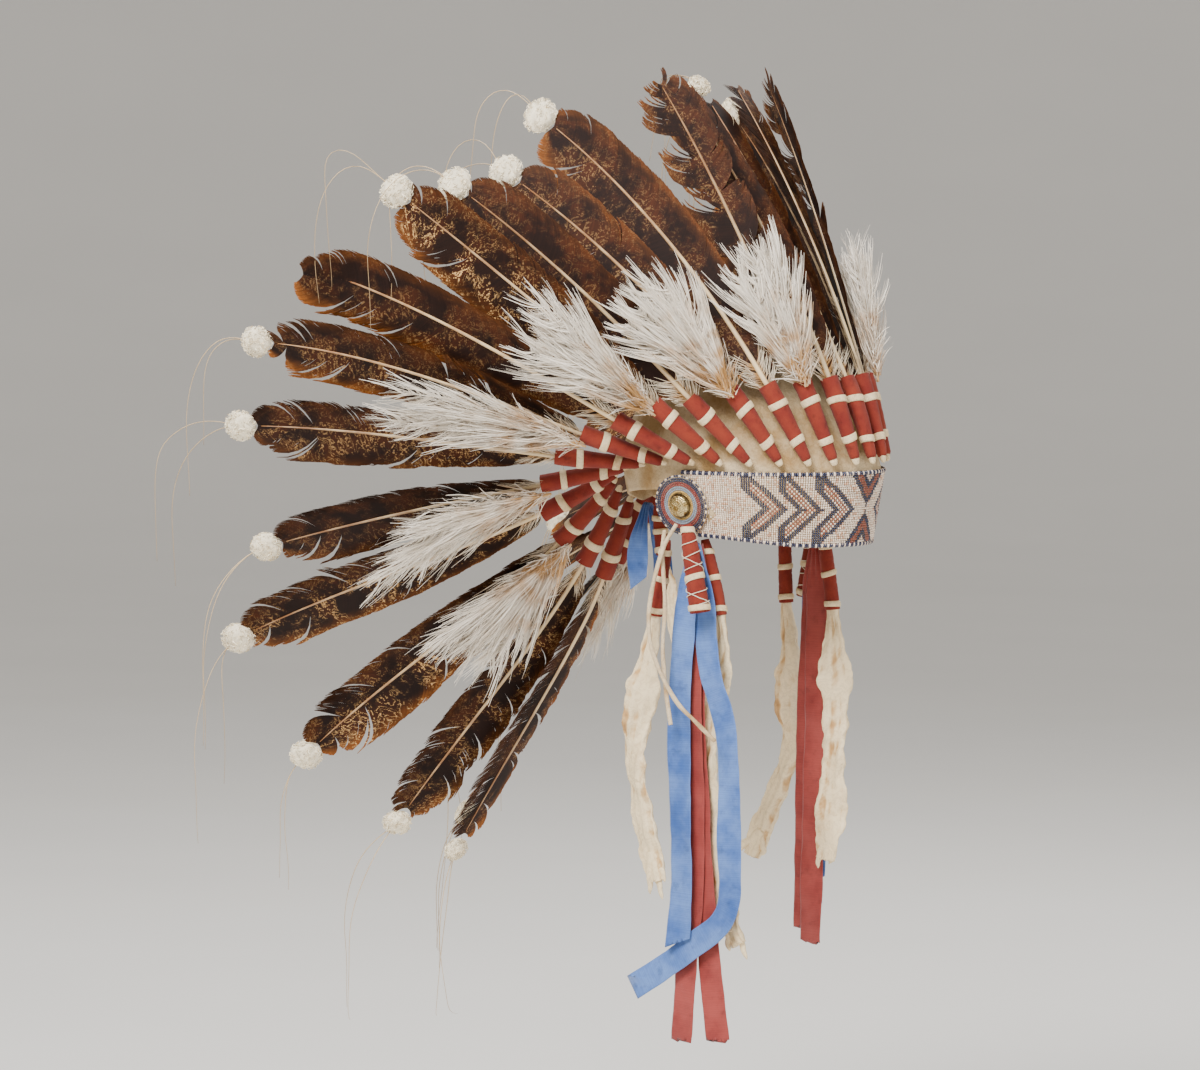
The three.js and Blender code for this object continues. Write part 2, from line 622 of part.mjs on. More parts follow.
HIDE_DROPS.forEach(({ name, side, path }) => {
  headdress.add(makeHideDrop(name, path.map((row) => hangingPoint(row, side))));
});
HANGERS.forEach((row) => headdress.add(makeHanger(row)));
RIBBONS.forEach((row) => headdress.add(makeRibbon(row)));
THONGS.forEach((row) => headdress.add(makeThong(row)));
headdress.add(makeHideDrop('nape_drop', NAPE_DROP.map((row) => hangingPoint(row, 1))));
headdress.add(makeRibbon(NAPE_RIBBON));

export default headdress;
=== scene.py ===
"""A Plains feathered headdress, dressed around its construction frame.

A hide skullcap carries a loomed brow band with a beaded rosette at each temple. A fan of
28 tail feathers stands round the crown, each with a cloth-wrapped base, and soft down lies
over the bases. Hide drops, ribbons and laces hang at the temples and at the nape.

Sizes are in millimetres and become metres only when a mesh is made. +X is the wearer's
front, +Y the wearer's left, +Z up, and the origin is the centre of the head opening.
"""
from __future__ import annotations

import logging
import math
from dataclasses import dataclass, field
from enum import Enum
from typing import Sequence

import bmesh
import bpy
import numpy as np
from mathutils import Matrix, Vector

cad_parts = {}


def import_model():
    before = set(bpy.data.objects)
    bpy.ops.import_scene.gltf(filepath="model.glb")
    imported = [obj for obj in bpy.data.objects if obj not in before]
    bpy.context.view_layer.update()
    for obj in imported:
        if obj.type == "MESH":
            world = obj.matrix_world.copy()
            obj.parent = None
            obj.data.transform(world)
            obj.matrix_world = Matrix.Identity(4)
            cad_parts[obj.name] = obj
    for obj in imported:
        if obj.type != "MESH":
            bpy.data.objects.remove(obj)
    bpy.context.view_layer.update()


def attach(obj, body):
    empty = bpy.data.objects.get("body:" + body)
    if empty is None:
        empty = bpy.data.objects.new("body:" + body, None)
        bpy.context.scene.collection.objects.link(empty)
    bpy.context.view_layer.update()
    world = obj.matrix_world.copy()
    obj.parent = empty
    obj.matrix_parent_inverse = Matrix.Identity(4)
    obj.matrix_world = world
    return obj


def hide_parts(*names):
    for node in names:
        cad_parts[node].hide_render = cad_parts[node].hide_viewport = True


LOG = logging.getLogger("headdress")
MM = 0.001
RIGHT, LEFT = -1, 1
FEATHER_COUNT = 28
NAPE = FEATHER_COUNT // 2
DEG = math.pi / 180.0

Array = np.ndarray
Material, Object = bpy.types.Material, bpy.types.Object
Node, Socket, Tree = bpy.types.Node, bpy.types.NodeSocket, bpy.types.NodeTree


# --------------------------------------------------------------------------- arithmetic


def smooth(low: float, high: float, value: Array | float) -> Array | float:
    """Rises smoothly from 0 at low to 1 at high."""
    part = np.clip((np.asarray(value, float) - low) / (high - low), 0.0, 1.0)
    return part * part * (3.0 - 2.0 * part)


def unit(vectors: Array) -> Array:
    """Scales vectors on the last axis to length 1."""
    return vectors / np.maximum(np.linalg.norm(vectors, axis=-1, keepdims=True), 1e-9)


def ripple(positions: Array, seed: float, octaves: int = 3) -> Array:
    """A smooth wandering value, about -1 to 1, from sums of sines.

    Args:
        positions: Numbers to wander along, one unit to a bump.
        seed: Any number, to make one wander differ from the next.
        octaves: How many finer waves are added.

    Returns:
        The value at each position.
    """
    total = np.zeros_like(np.asarray(positions, float))
    for octave in range(octaves):
        rate = 1.0 * 1.93**octave
        turn = seed * (7.31 + 3.17 * octave)
        total = total + np.sin(positions * rate * 2.4 + turn) * np.cos(positions * rate * 1.31 - 2.0 * turn) / 1.6**octave
    return total / 1.6


def blend_rows(rows: Sequence[tuple[float, ...]], at: Array) -> Array:
    """Blends a table down its first column.

    Args:
        rows: Rows of (place, value, ...), in order of place.
        at: Places to look up.

    Returns:
        One row of values for each place.
    """
    table = np.array(rows, float)
    return np.stack([np.interp(at, table[:, 0], table[:, c]) for c in range(1, table.shape[1])], axis=-1)


class Path:
    """A smooth line through points, measured along its length.

    Attributes:
        length: The line's length in millimetres.
    """

    def __init__(self, points: Sequence[Sequence[float]], samples: int = 400) -> None:
        """Fits a centripetal curve through the points.

        Args:
            points: The points, in order, in millimetres.
            samples: How many points the curve keeps.
        """
        knots = np.array(points, float)
        padded = np.vstack([2 * knots[0] - knots[1], knots, 2 * knots[-1] - knots[-2]])
        pieces = []
        each = max(4, samples // (len(knots) - 1))
        for i in range(1, len(padded) - 2):
            pieces.append(self._piece(padded[i - 1 : i + 3], each))
        self._points = np.vstack(pieces + [knots[-1:]])
        steps = np.linalg.norm(np.diff(self._points, axis=0), axis=1)
        self._at = np.concatenate([[0.0], np.cumsum(steps)])
        self.length = float(self._at[-1])

    @staticmethod
    def _piece(four: Array, count: int) -> Array:
        """One stretch of the curve, between the middle two of four points."""
        gaps = np.sqrt(np.maximum(np.linalg.norm(np.diff(four, axis=0), axis=1), 1e-6))
        t0, t1, t2, t3 = np.concatenate([[0.0], np.cumsum(gaps)])
        t = np.linspace(t1, t2, count, endpoint=False)[:, None]
        p0, p1, p2, p3 = four
        a1 = (t1 - t) / (t1 - t0) * p0 + (t - t0) / (t1 - t0) * p1
        a2 = (t2 - t) / (t2 - t1) * p1 + (t - t1) / (t2 - t1) * p2
        a3 = (t3 - t) / (t3 - t2) * p2 + (t - t2) / (t3 - t2) * p3
        b1 = (t2 - t) / (t2 - t0) * a1 + (t - t0) / (t2 - t0) * a2
        b2 = (t3 - t) / (t3 - t1) * a2 + (t - t1) / (t3 - t1) * a3
        return (t2 - t) / (t2 - t1) * b1 + (t - t1) / (t2 - t1) * b2

    def at(self, distance: Array) -> Array:
        """The points that many millimetres along the line."""
        return np.stack([np.interp(distance, self._at, self._points[:, c]) for c in range(3)], axis=-1)

    def along(self, distance: Array) -> Array:
        """The line's directions that many millimetres along it."""
        reach = 0.6
        low = np.clip(np.asarray(distance, float) - reach, 0.0, self.length - 0.01)
        high = np.clip(np.asarray(distance, float) + reach, 0.01, self.length)
        return unit(self.at(high) - self.at(low))


# --------------------------------------------------------------------------- mesh drafts


class Draft:
    """Points, faces and values at points, gathered in millimetres for one mesh."""

    def __init__(self) -> None:
        """Starts with nothing in it."""
        self._points: list[Array] = []
        self._faces: list[Array] = []
        self._slots: list[Array] = []
        self._values: dict[str, list[tuple[int, Array]]] = {}
        self._count = 0

    def add(self, points: Array, faces: Array, slot: int = 0, **values: Array | float) -> None:
        """Adds points and the faces between them.

        Args:
            points: Rows of X, Y and Z.
            faces: Rows of three or four point numbers, counted from this call's first point.
            slot: Which of the mesh's finishes the faces take.
            values: Numbers for each point, by name, for the finishes to read.
        """
        points = np.asarray(points, float).reshape(-1, 3)
        faces = np.asarray(faces, int)
        for name, value in values.items():
            whole = np.broadcast_to(np.asarray(value, float).ravel(), (len(points),))
            self._values.setdefault(name, []).append((self._count, whole))
        self._points.append(points)
        self._faces.append(faces + self._count)
        self._slots.append(np.full(len(faces), slot, int))
        self._count += len(points)

    def strips(self, paths: Array, sides: Array, slot: int = 0, **values: Array) -> None:
        """Adds many narrow strips at once, such as barbs or hairs.

        Args:
            paths: Centre lines, as strips by stations by XYZ.
            sides: Half-width vectors, in the same shape.
            slot: Which finish they take.
            values: Numbers by strip and station.
        """
        strips, stations, _ = paths.shape
        points = np.stack([paths - sides, paths + sides], axis=2)
        first = (np.arange(strips)[:, None] * stations + np.arange(stations - 1)[None, :]) * 2
        faces = np.stack([first, first + 1, first + 3, first + 2], axis=-1).reshape(-1, 4)
        doubled = {k: np.repeat(np.broadcast_to(v, (strips, stations)).ravel(), 2) for k, v in values.items()}
        self.add(points.reshape(-1, 3), faces, slot, **doubled)

    def loft(self, rings: Array, slot: int = 0, capped: bool = True, **values: Array) -> None:
        """Joins rings of points into a skin.

        Args:
            rings: Rings by points by XYZ.
            slot: Which finish it takes.
            capped: Whether the two ends are closed.
            values: Numbers by ring and point.
        """
        count, around, _ = rings.shape
        row = np.arange(count - 1)[:, None] * around
        here = np.arange(around)[None, :]
        there = (here + 1) % around
        faces = np.stack([row + here, row + there, row + around + there, row + around + here], axis=-1)
        spread = {k: np.broadcast_to(v, (count, around)).ravel() for k, v in values.items()}
        self.add(rings.reshape(-1, 3), faces.reshape(-1, 4), slot, **spread)
        if capped:
            start = self._count - count * around
            for first, flip in ((start, True), (start + (count - 1) * around, False)):
                corner = np.arange(1, around - 1)
                fan = np.stack([np.full_like(corner, 0), corner, corner + 1], axis=-1) + first
                self._faces.append(fan[:, ::-1] if flip else fan)
                self._slots.append(np.full(len(fan), slot, int))

    def mirror(self) -> None:
        """Flips everything to the other side of the head, and turns the faces to match."""
        self._points = [p * np.array([1.0, -1.0, 1.0]) for p in self._points]
        self._faces = [f[:, ::-1] for f in self._faces]

    def build(self, name: str, finishes: Sequence[Material]) -> Object:
        """Makes the mesh object, in metres, and links it to the scene.

        Args:
            name: The object's name.
            finishes: Its materials, in slot order.

        Returns:
            The new object.
        """
        mesh = bpy.data.meshes.new(name)
        loops = np.concatenate([f.ravel() for f in self._faces])
        sizes = np.concatenate([np.full(len(f), f.shape[1]) for f in self._faces])
        starts = np.concatenate([[0], np.cumsum(sizes)[:-1]])
        mesh.vertices.add(self._count)
        mesh.vertices.foreach_set("co", (np.concatenate(self._points) * MM).ravel().astype(np.float32))
        mesh.loops.add(len(loops))
        mesh.loops.foreach_set("vertex_index", loops.astype(np.int32))
        mesh.polygons.add(len(sizes))
        mesh.polygons.foreach_set("loop_start", starts.astype(np.int32))
        mesh.polygons.foreach_set("material_index", np.concatenate(self._slots).astype(np.int32))
        mesh.polygons.foreach_set("use_smooth", np.full(len(sizes), True))
        for label, chunks in self._values.items():
            whole = np.zeros(self._count, np.float32)
            for start, chunk in chunks:
                whole[start : start + len(chunk)] = chunk
            mesh.attributes.new(label, "FLOAT", "POINT").data.foreach_set("value", whole)
        mesh.update(calc_edges=True)
        mesh.validate()
        for finish in finishes:
            mesh.materials.append(finish)
        piece = bpy.data.objects.new(name, mesh)
        bpy.context.scene.collection.objects.link(piece)
        return piece


def tube_rings(centres: Array, wide: Array, thick: Array, half_wide: Array, half_thick: Array, around: int) -> Array:
    """Oval rings across a line.

    Args:
        centres: The ring centres.
        wide: Unit vectors across.
        thick: Unit vectors through.
        half_wide: Half widths, one for each ring or one for each ring and point.
        half_thick: Half thicknesses, in the same way.
        around: Points to a ring.

    Returns:
        Rings by points by XYZ.
    """
    turn = np.arange(around) * 2 * math.pi / around
    across = np.reshape(half_wide, (len(centres), -1)) * np.cos(turn)[None, :]
    through = np.reshape(half_thick, (len(centres), -1)) * np.sin(turn)[None, :]
    return centres[:, None, :] + across[..., None] * wide[:, None, :] + through[..., None] * thick[:, None, :]


# --------------------------------------------------------------------------- finishes

Colour = tuple[float, float, float]


def shade(hexadecimal: str) -> Colour:
    """Turns a screen colour such as '7e2f26' into linear values."""
    values = [int(hexadecimal[i : i + 2], 16) / 255.0 for i in (0, 2, 4)]
    return tuple(v / 12.92 if v <= 0.04045 else ((v + 0.055) / 1.055) ** 2.4 for v in values)


class Effect(Enum):
    """The shared effects, each a node group built once."""

    STAIN = "stain"
    GRAIN = "grain"
    WEAVE = "weave"


class Nodes:
    """A thin helper that adds and links the nodes of one tree."""

    def __init__(self, tree: Tree) -> None:
        """Keeps the tree that the nodes go into."""
        self.tree = tree

    def add(self, kind: str, settings: dict[str, object] | None = None, **inputs: object) -> Node:
        """Adds a node.

        Args:
            kind: The node's type name, without 'ShaderNode'.
            settings: Properties of the node itself.
            inputs: Sockets by name, with '_' for a space: a value, or a socket to link.

        Returns:
            The node.
        """
        node = self.tree.nodes.new(f"ShaderNode{kind}")
        for key, value in (settings or {}).items():
            setattr(node, key, value)
        for key, value in inputs.items():
            self.feed(node.inputs[key.replace("_", " ")], value)
        return node

    def feed(self, socket: Socket, value: object) -> None:
        """Links a socket to another, or sets its value."""
        if isinstance(value, Socket):
            self.tree.links.new(value, socket)
        elif isinstance(value, tuple) and len(value) == 3 and socket.type == "RGBA":
            socket.default_value = (*value, 1.0)
        else:
            socket.default_value = value

    def math(self, operation: str, first: object, second: object = 0.0, clamp: bool = False) -> Socket:
        """Adds a sum and gives its result."""
        node = self.add("Math", {"operation": operation, "use_clamp": clamp})
        self.feed(node.inputs[0], first)
        self.feed(node.inputs[1], second)
        return node.outputs[0]

    def mix(self, share: object, low: object, high: object, blend: str = "MIX") -> Socket:
        """Adds a colour mix and gives its result."""
        node = self.add("Mix", {"data_type": "RGBA", "blend_type": blend})
        self.feed(node.inputs[0], share)
        self.feed(node.inputs[6], low)
        self.feed(node.inputs[7], high)
        return node.outputs[2]

    def ramp(self, value: object, low: float, high: float, to_low: float = 0.0, to_high: float = 1.0) -> Socket:
        """Adds a smooth rise between two values and gives its result."""
        node = self.add("MapRange", {"interpolation_type": "SMOOTHSTEP"})
        for index, number in enumerate((value, low, high, to_low, to_high)):
            self.feed(node.inputs[index], number)
        return node.outputs[0]

    def value(self, name: str) -> Socket:
        """Reads a named value that the mesh carries at its points."""
        return self.add("Attribute", {"attribute_name": name}).outputs["Fac"]

    def group(self, effect: Effect, **inputs: object) -> Node:
        """Places a shared effect."""
        node = self.tree.nodes.new("ShaderNodeGroup")
        node.node_tree = SharedEffects.tree(effect)
        for key, value in inputs.items():
            self.feed(node.inputs[key.replace("_", " ")], value)
        return node


class SharedEffects:
    """Builds each shared node group once, and hands it out."""

    @classmethod
    def tree(cls, effect: Effect) -> Tree:
        """Finds or builds the group for an effect.

        Args:
            effect: Which effect.

        Returns:
            The group's node tree.
        """
        found = bpy.data.node_groups.get(effect.value)
        if found:
            return found
        tree = bpy.data.node_groups.new(effect.value, "ShaderNodeTree")
        return {Effect.STAIN: cls._stain, Effect.GRAIN: cls._grain, Effect.WEAVE: cls._weave}[effect](tree)

    @staticmethod
    def _sockets(tree: Tree, inputs: dict[str, float], outputs: Sequence[str]) -> tuple[Node, Node]:
        """Gives a group its sockets, and returns its input and output nodes."""
        for name, default in inputs.items():
            socket = tree.interface.new_socket(name, in_out="INPUT", socket_type="NodeSocketFloat")
            socket.default_value = default
        for name in outputs:
            tree.interface.new_socket(name, in_out="OUTPUT", socket_type="NodeSocketFloat")
        return tree.nodes.new("NodeGroupInput"), tree.nodes.new("NodeGroupOutput")

    @classmethod
    def _stain(cls, tree: Tree) -> Tree:
        """Soft cloudy blotches, as from handling, smoke and age."""
        source, sink = cls._sockets(tree, {"Size": 20.0, "Cover": 0.5, "Softness": 0.2}, ["Mask"])
        nodes = Nodes(tree)
        where = nodes.add("TexCoord").outputs["Object"]
        rate = nodes.math("DIVIDE", 1000.0, source.outputs["Size"])
        wide = nodes.add("TexNoise", Vector=where, Scale=rate, Detail=5.0, Roughness=0.62)
        level = nodes.math("SUBTRACT", 1.0, source.outputs["Cover"])
        low = nodes.math("SUBTRACT", level, source.outputs["Softness"])
        high = nodes.math("ADD", level, source.outputs["Softness"])
        nodes.feed(sink.inputs["Mask"], nodes.ramp(wide.outputs["Fac"], low, high))
        return tree

    @classmethod
    def _grain(cls, tree: Tree) -> Tree:
        """Fine pebbled grain with wrinkles, as on tanned hide."""
        source, sink = cls._sockets(tree, {"Size": 1.2, "Wrinkle": 0.5}, ["Height", "Crease"])
        nodes = Nodes(tree)
        where = nodes.add("TexCoord").outputs["Object"]
        rate = nodes.math("DIVIDE", 1000.0, source.outputs["Size"])
        pebble = nodes.add("TexVoronoi", {"feature": "SMOOTH_F1"}, Vector=where, Scale=rate)
        slow = nodes.math("MULTIPLY", rate, 0.16)
        fold = nodes.add("TexNoise", Vector=where, Scale=slow, Detail=4.0, Distortion=1.4)
        crease = nodes.math("ABSOLUTE", nodes.math("SUBTRACT", fold.outputs["Fac"], 0.5))
        sharp = nodes.ramp(crease, 0.0, 0.06)
        total = nodes.math("ADD", pebble.outputs["Distance"], nodes.math("MULTIPLY", sharp, source.outputs["Wrinkle"]))
        nodes.feed(sink.inputs["Height"], total)
        nodes.feed(sink.inputs["Crease"], nodes.math("SUBTRACT", 1.0, sharp))
        return tree

    @classmethod
    def _weave(cls, tree: Tree) -> Tree:
        """A plain weave of threads that run along the values 'along' and 'across'."""
        source, sink = cls._sockets(tree, {"Pitch": 0.4}, ["Height", "Thread"])
        nodes = Nodes(tree)
        rate = nodes.math("DIVIDE", math.pi, source.outputs["Pitch"])
        warp = nodes.math("SINE", nodes.math("MULTIPLY", nodes.value("across"), rate))
        weft = nodes.math("SINE", nodes.math("MULTIPLY", nodes.value("along"), rate))
        nodes.feed(sink.inputs["Height"], nodes.math("MULTIPLY", warp, weft))
        slub = nodes.add("TexNoise", {"noise_dimensions": "1D"}, W=nodes.value("along"), Scale=1.7, Detail=3.0)
        nodes.feed(sink.inputs["Thread"], slub.outputs["Fac"])
        return tree


@dataclass(frozen=True)
class Finish:
    """What every finish has: a name, a roughness, and its constant sheen and specular level.

    Attributes:
        name: The material's name.
        roughness: The surface roughness.
        sheen: The weight of its fuzz.
        specular: The specular level.
    """

    name: str
    roughness: float = 0.8
    sheen: float = 0.0
    specular: float = 0.3

    def start(self) -> tuple[Material, Nodes, Node]:
        """Makes the material with its shader, and sets the shader's constants."""
        material = bpy.data.materials.new(self.name)
        material.use_nodes = True
        shader = material.node_tree.nodes["Principled BSDF"]
        shader.inputs["Roughness"].default_value = self.roughness
        shader.inputs["Specular IOR Level"].default_value = self.specular
        shader.inputs["Sheen Weight"].default_value = self.sheen
        shader.inputs["Sheen Roughness"].default_value = 0.5
        return material, Nodes(material.node_tree), shader

    @staticmethod
    def bump(nodes: Nodes, shader: Node, height: object, strength: float, distance: float) -> None:
        """Feeds a height, in millimetres of depth, to the shader's normal."""
        node = nodes.add("Bump", Strength=strength, Distance=distance * MM, Height=height)
        nodes.feed(shader.inputs["Normal"], node.outputs["Normal"])


@dataclass(frozen=True)
class HideFinish(Finish):
    """Tanned hide: pale, stained in blotches, with grain and wrinkles, and painted shade in its wrinkle creases and in
    the hollows of its crinkles.
    """

    pale: str = "dcc39a"
    dark: str = "a9773c"
    grime_and_shade: str = "5d4326"
    stain: float = 0.42
    stain_size: float = 26.0
    wrinkle: float = 0.5
    grain: float = 1.1
    depth: float = 0.35
    fold_shade: float = 0.0

    def make(self) -> Material:
        """Builds the material. Where the fold strength is above 0, the value 'fold' paints shade into the hollows of
        the skin's crinkles.
        """
        material, nodes, shader = self.start()
        grain = nodes.group(Effect.GRAIN, Size=self.grain, Wrinkle=self.wrinkle)
        blotch = nodes.group(Effect.STAIN, Size=self.stain_size, Cover=self.stain, Softness=0.16)
        spot = nodes.group(Effect.STAIN, Size=self.stain_size * 0.3, Cover=0.3, Softness=0.08)
        colour = nodes.mix(blotch.outputs["Mask"], shade(self.pale), shade(self.dark))
        colour = nodes.mix(nodes.math("MULTIPLY", spot.outputs["Mask"], 0.45), colour, shade(self.grime_and_shade))
        # Painted shade: the wrinkle creases, which the bump sinks, are darkened as well.
        colour = nodes.mix(nodes.math("MULTIPLY", grain.outputs["Crease"], 0.35 * self.wrinkle), colour, shade(self.grime_and_shade))
        # Painted shade: the deeper a point lies in a crinkle's hollow, by the value 'fold', the darker it is painted.
        if self.fold_shade:
            valley_shade = nodes.ramp(nodes.value("fold"), -0.15, -0.9, 0.0, self.fold_shade)
            colour = nodes.mix(valley_shade, colour, shade(self.dark))
            deep = nodes.ramp(nodes.value("fold"), -0.7, -1.5, 0.0, self.fold_shade)
            colour = nodes.mix(deep, colour, shade(self.grime_and_shade))
        nodes.feed(shader.inputs["Base Color"], colour)
        self.bump(nodes, shader, grain.outputs["Height"], 0.7, self.depth)
        return material


@dataclass(frozen=True)
class WoolFinish(Finish):
    """Red trade cloth: felted wool with a fine weave, lint, fading and soot."""

    colour: str = "6e2019"
    faded: str = "83301f"
    dirty: str = "3a0f0b"

    def make(self) -> Material:
        """Builds the material."""
        material, nodes, shader = self.start()
        weave = nodes.group(Effect.WEAVE, Pitch=0.55)
        fade = nodes.group(Effect.STAIN, Size=16.0, Cover=0.5, Softness=0.2)
        soot = nodes.group(Effect.STAIN, Size=7.0, Cover=0.34, Softness=0.12)
        colour = nodes.mix(fade.outputs["Mask"], shade(self.colour), shade(self.faded))
        colour = nodes.mix(nodes.math("MULTIPLY", soot.outputs["Mask"], 0.55), colour, shade(self.dirty))
        where = nodes.add("TexCoord").outputs["Object"]
        lint = nodes.add("TexNoise", Vector=where, Scale=2600.0, Detail=2.0)
        colour = nodes.mix(nodes.ramp(lint.outputs["Fac"], 0.5, 0.8, 0.0, 0.3), colour, shade("9c4a3a"))
        nodes.feed(shader.inputs["Base Color"], colour)
        height = nodes.math("ADD", nodes.math("MULTIPLY", weave.outputs["Height"], 0.4), lint.outputs["Fac"])
        self.bump(nodes, shader, height, 0.6, 0.25)
        return material


@dataclass(frozen=True)
class RibbonFinish(Finish):
    """Thin silk: fine weave, faded in patches and along its edges, water-marked with age."""

    colour: str = "2f559a"
    faded: str = "6486c4"
    dark: str = "1c3566"

    def make(self) -> Material:
        """Builds the material."""
        material, nodes, shader = self.start()
        weave = nodes.group(Effect.WEAVE, Pitch=0.32)
        fade = nodes.group(Effect.STAIN, Size=34.0, Cover=0.52, Softness=0.22)
        mark = nodes.group(Effect.STAIN, Size=9.0, Cover=0.36, Softness=0.1)
        colour = nodes.mix(fade.outputs["Mask"], shade(self.colour), shade(self.faded))
        colour = nodes.mix(nodes.math("MULTIPLY", mark.outputs["Mask"], 0.4), colour, shade(self.dark))
        rim = nodes.ramp(nodes.math("ABSOLUTE", nodes.value("across")), 8.4, 9.4, 0.0, 0.4)
        colour = nodes.mix(rim, colour, shade(self.faded))
        streak = nodes.ramp(weave.outputs["Thread"], 0.35, 0.65, 0.86, 1.08)
        colour = nodes.mix(1.0, colour, nodes.add("CombineColor", Red=streak, Green=streak, Blue=streak).outputs[0], "MULTIPLY")
        nodes.feed(shader.inputs["Base Color"], colour)
        self.bump(nodes, shader, weave.outputs["Height"], 0.5, 0.06)
        return material


@dataclass(frozen=True)
class VaneFinish(Finish):
    """The barbs of a tail feather: dark brown, lighter at the trailing edge, and mottled."""

    dark: str = "1c0b05"
    middle: str = "3d1c0a"
    light: str = "96561f"
    pale: str = "dcae72"

    def make(self) -> Material:
        """Builds the material. It reads along (0 to 1), across (-1 to 1), seed, tone and mottle."""
        material, nodes, shader = self.start()
        along, across = nodes.value("along"), nodes.value("across")
        seed, tone, mottle = nodes.value("seed"), nodes.value("tone"), nodes.value("mottle")
        shift = nodes.math("MULTIPLY", tone, 37.0)
        place = nodes.add("CombineXYZ", X=nodes.math("MULTIPLY", along, 9.0), Y=nodes.math("MULTIPLY", across, 1.5), Z=shift)
        cloud = nodes.add("TexNoise", Vector=place.outputs[0], Scale=1.0, Detail=5.0, Roughness=0.6)
        edge = nodes.ramp(nodes.math("ADD", nodes.math("ABSOLUTE", across), nodes.math("MULTIPLY", cloud.outputs["Fac"], 0.5)), 0.55, 1.25)
        colour = nodes.mix(nodes.ramp(cloud.outputs["Fac"], 0.4, 0.62), shade(self.dark), shade(self.middle))
        warm = nodes.math("MULTIPLY", edge, nodes.ramp(across, -0.4, 0.9, 0.25, 1.0))
        colour = nodes.mix(nodes.math("MULTIPLY", warm, nodes.ramp(tone, 0.0, 1.0, 0.25, 0.9)), colour, shade(self.light))
        fine = nodes.add("CombineXYZ", X=nodes.math("MULTIPLY", along, 30.0), Y=nodes.math("MULTIPLY", across, 3.0), Z=shift)
        marks = nodes.add("TexNoise", Vector=fine.outputs[0], Scale=1.0, Detail=3.0, Distortion=2.2)
        bars = nodes.ramp(nodes.math("ABSOLUTE", nodes.math("SUBTRACT", marks.outputs["Fac"], 0.5)), 0.006, 0.03, 1.0, 0.0)
        patch = nodes.math("MULTIPLY", nodes.ramp(cloud.outputs["Fac"], 0.42, 0.55), nodes.ramp(across, -0.5, 0.35, 0.25, 1.0))
        colour = nodes.mix(nodes.math("MULTIPLY", nodes.math("MULTIPLY", bars, patch), mottle), colour, shade(self.pale))
        streak = nodes.ramp(seed, 0.0, 1.0, 0.72, 1.25)
        grey = nodes.add("CombineColor", Red=streak, Green=streak, Blue=streak).outputs[0]
        nodes.feed(shader.inputs["Base Color"], nodes.mix(1.0, colour, grey, "MULTIPLY"))
        return material


@dataclass(frozen=True)
class GradedFinish(Finish):
    """A fibre or quill that changes colour from its root to its tip, by the value 'along'."""

    root: str = "c9a87a"
    tip: str = "efe6d8"
    turn: float = 0.35
    speckle: float = 0.12

    def make(self) -> Material:
        """Builds the material."""
        material, nodes, shader = self.start()
        where = nodes.add("TexCoord").outputs["Object"]
        cloud = nodes.add("TexNoise", Vector=where, Scale=60.0, Detail=4.0)
        rise = nodes.math("ADD", nodes.value("along"), nodes.ramp(cloud.outputs["Fac"], 0.3, 0.7, -0.2, 0.2))
        colour = nodes.mix(nodes.ramp(rise, 0.0, self.turn), shade(self.root), shade(self.tip))
        change = nodes.ramp(nodes.value("seed"), 0.0, 1.0, 1.0 - self.speckle, 1.0 + self.speckle)
        grey = nodes.add("CombineColor", Red=change, Green=change, Blue=change).outputs[0]
        nodes.feed(shader.inputs["Base Color"], nodes.mix(1.0, colour, grey, "MULTIPLY"))
        return material


@dataclass(frozen=True)
class BeadFinish(Finish):
    """Opaque glass seed beads: glossy, each a little different, with blotches of dirt, and painted shade on each bead's
    low sides.
    """

    colour: str = "e6d3c2"
    spread: float = 0.12

    def make(self) -> Material:
        """Builds the material."""
        material, nodes, shader = self.start()
        change = nodes.ramp(nodes.value("seed"), 0.0, 1.0, 1.0 - self.spread, 1.0 + self.spread)
        grey = nodes.add("CombineColor", Red=change, Green=change, Blue=change).outputs[0]
        colour = nodes.mix(1.0, shade(self.colour), grey, "MULTIPLY")
        dirt = nodes.group(Effect.STAIN, Size=11.0, Cover=0.34, Softness=0.15)
        colour = nodes.mix(nodes.math("MULTIPLY", dirt.outputs["Mask"], 0.35), colour, shade("7a5a44"))
        # Painted shade: each bead darkens towards its low sides, where it meets the strip and its neighbours.
        low = nodes.ramp(nodes.value("across"), 0.0, 0.75, 0.6, 0.0)
        nodes.feed(shader.inputs["Base Color"], nodes.mix(low, colour, shade("2a1a12")))
        shader.inputs["Coat Weight"].default_value = 0.35
        shader.inputs["Coat Roughness"].default_value = 0.12
        return material


@dataclass(frozen=True)
class BrassFinish(Finish):
    """Worn brass, bright on the high spots and dark in the hollows."""

    bright: str = "d9c48e"
    dull: str = "8a6a34"

    def make(self) -> Material:
        """Builds the material."""
        material, nodes, shader = self.start()
        tarnish = nodes.group(Effect.STAIN, Size=5.0, Cover=0.5, Softness=0.15)
        colour = nodes.mix(tarnish.outputs["Mask"], shade(self.bright), shade(self.dull))
        low = nodes.ramp(nodes.value("across"), 0.0, 0.6, 0.8, 0.0)
        nodes.feed(shader.inputs["Base Color"], nodes.mix(low, colour, shade("3a2812")))
        nodes.feed(shader.inputs["Roughness"], nodes.ramp(tarnish.outputs["Mask"], 0.0, 1.0, 0.2, 0.42))
        shader.inputs["Metallic"].default_value = 1.0
        return material


# --------------------------------------------------------------------------- the frame of the headdress


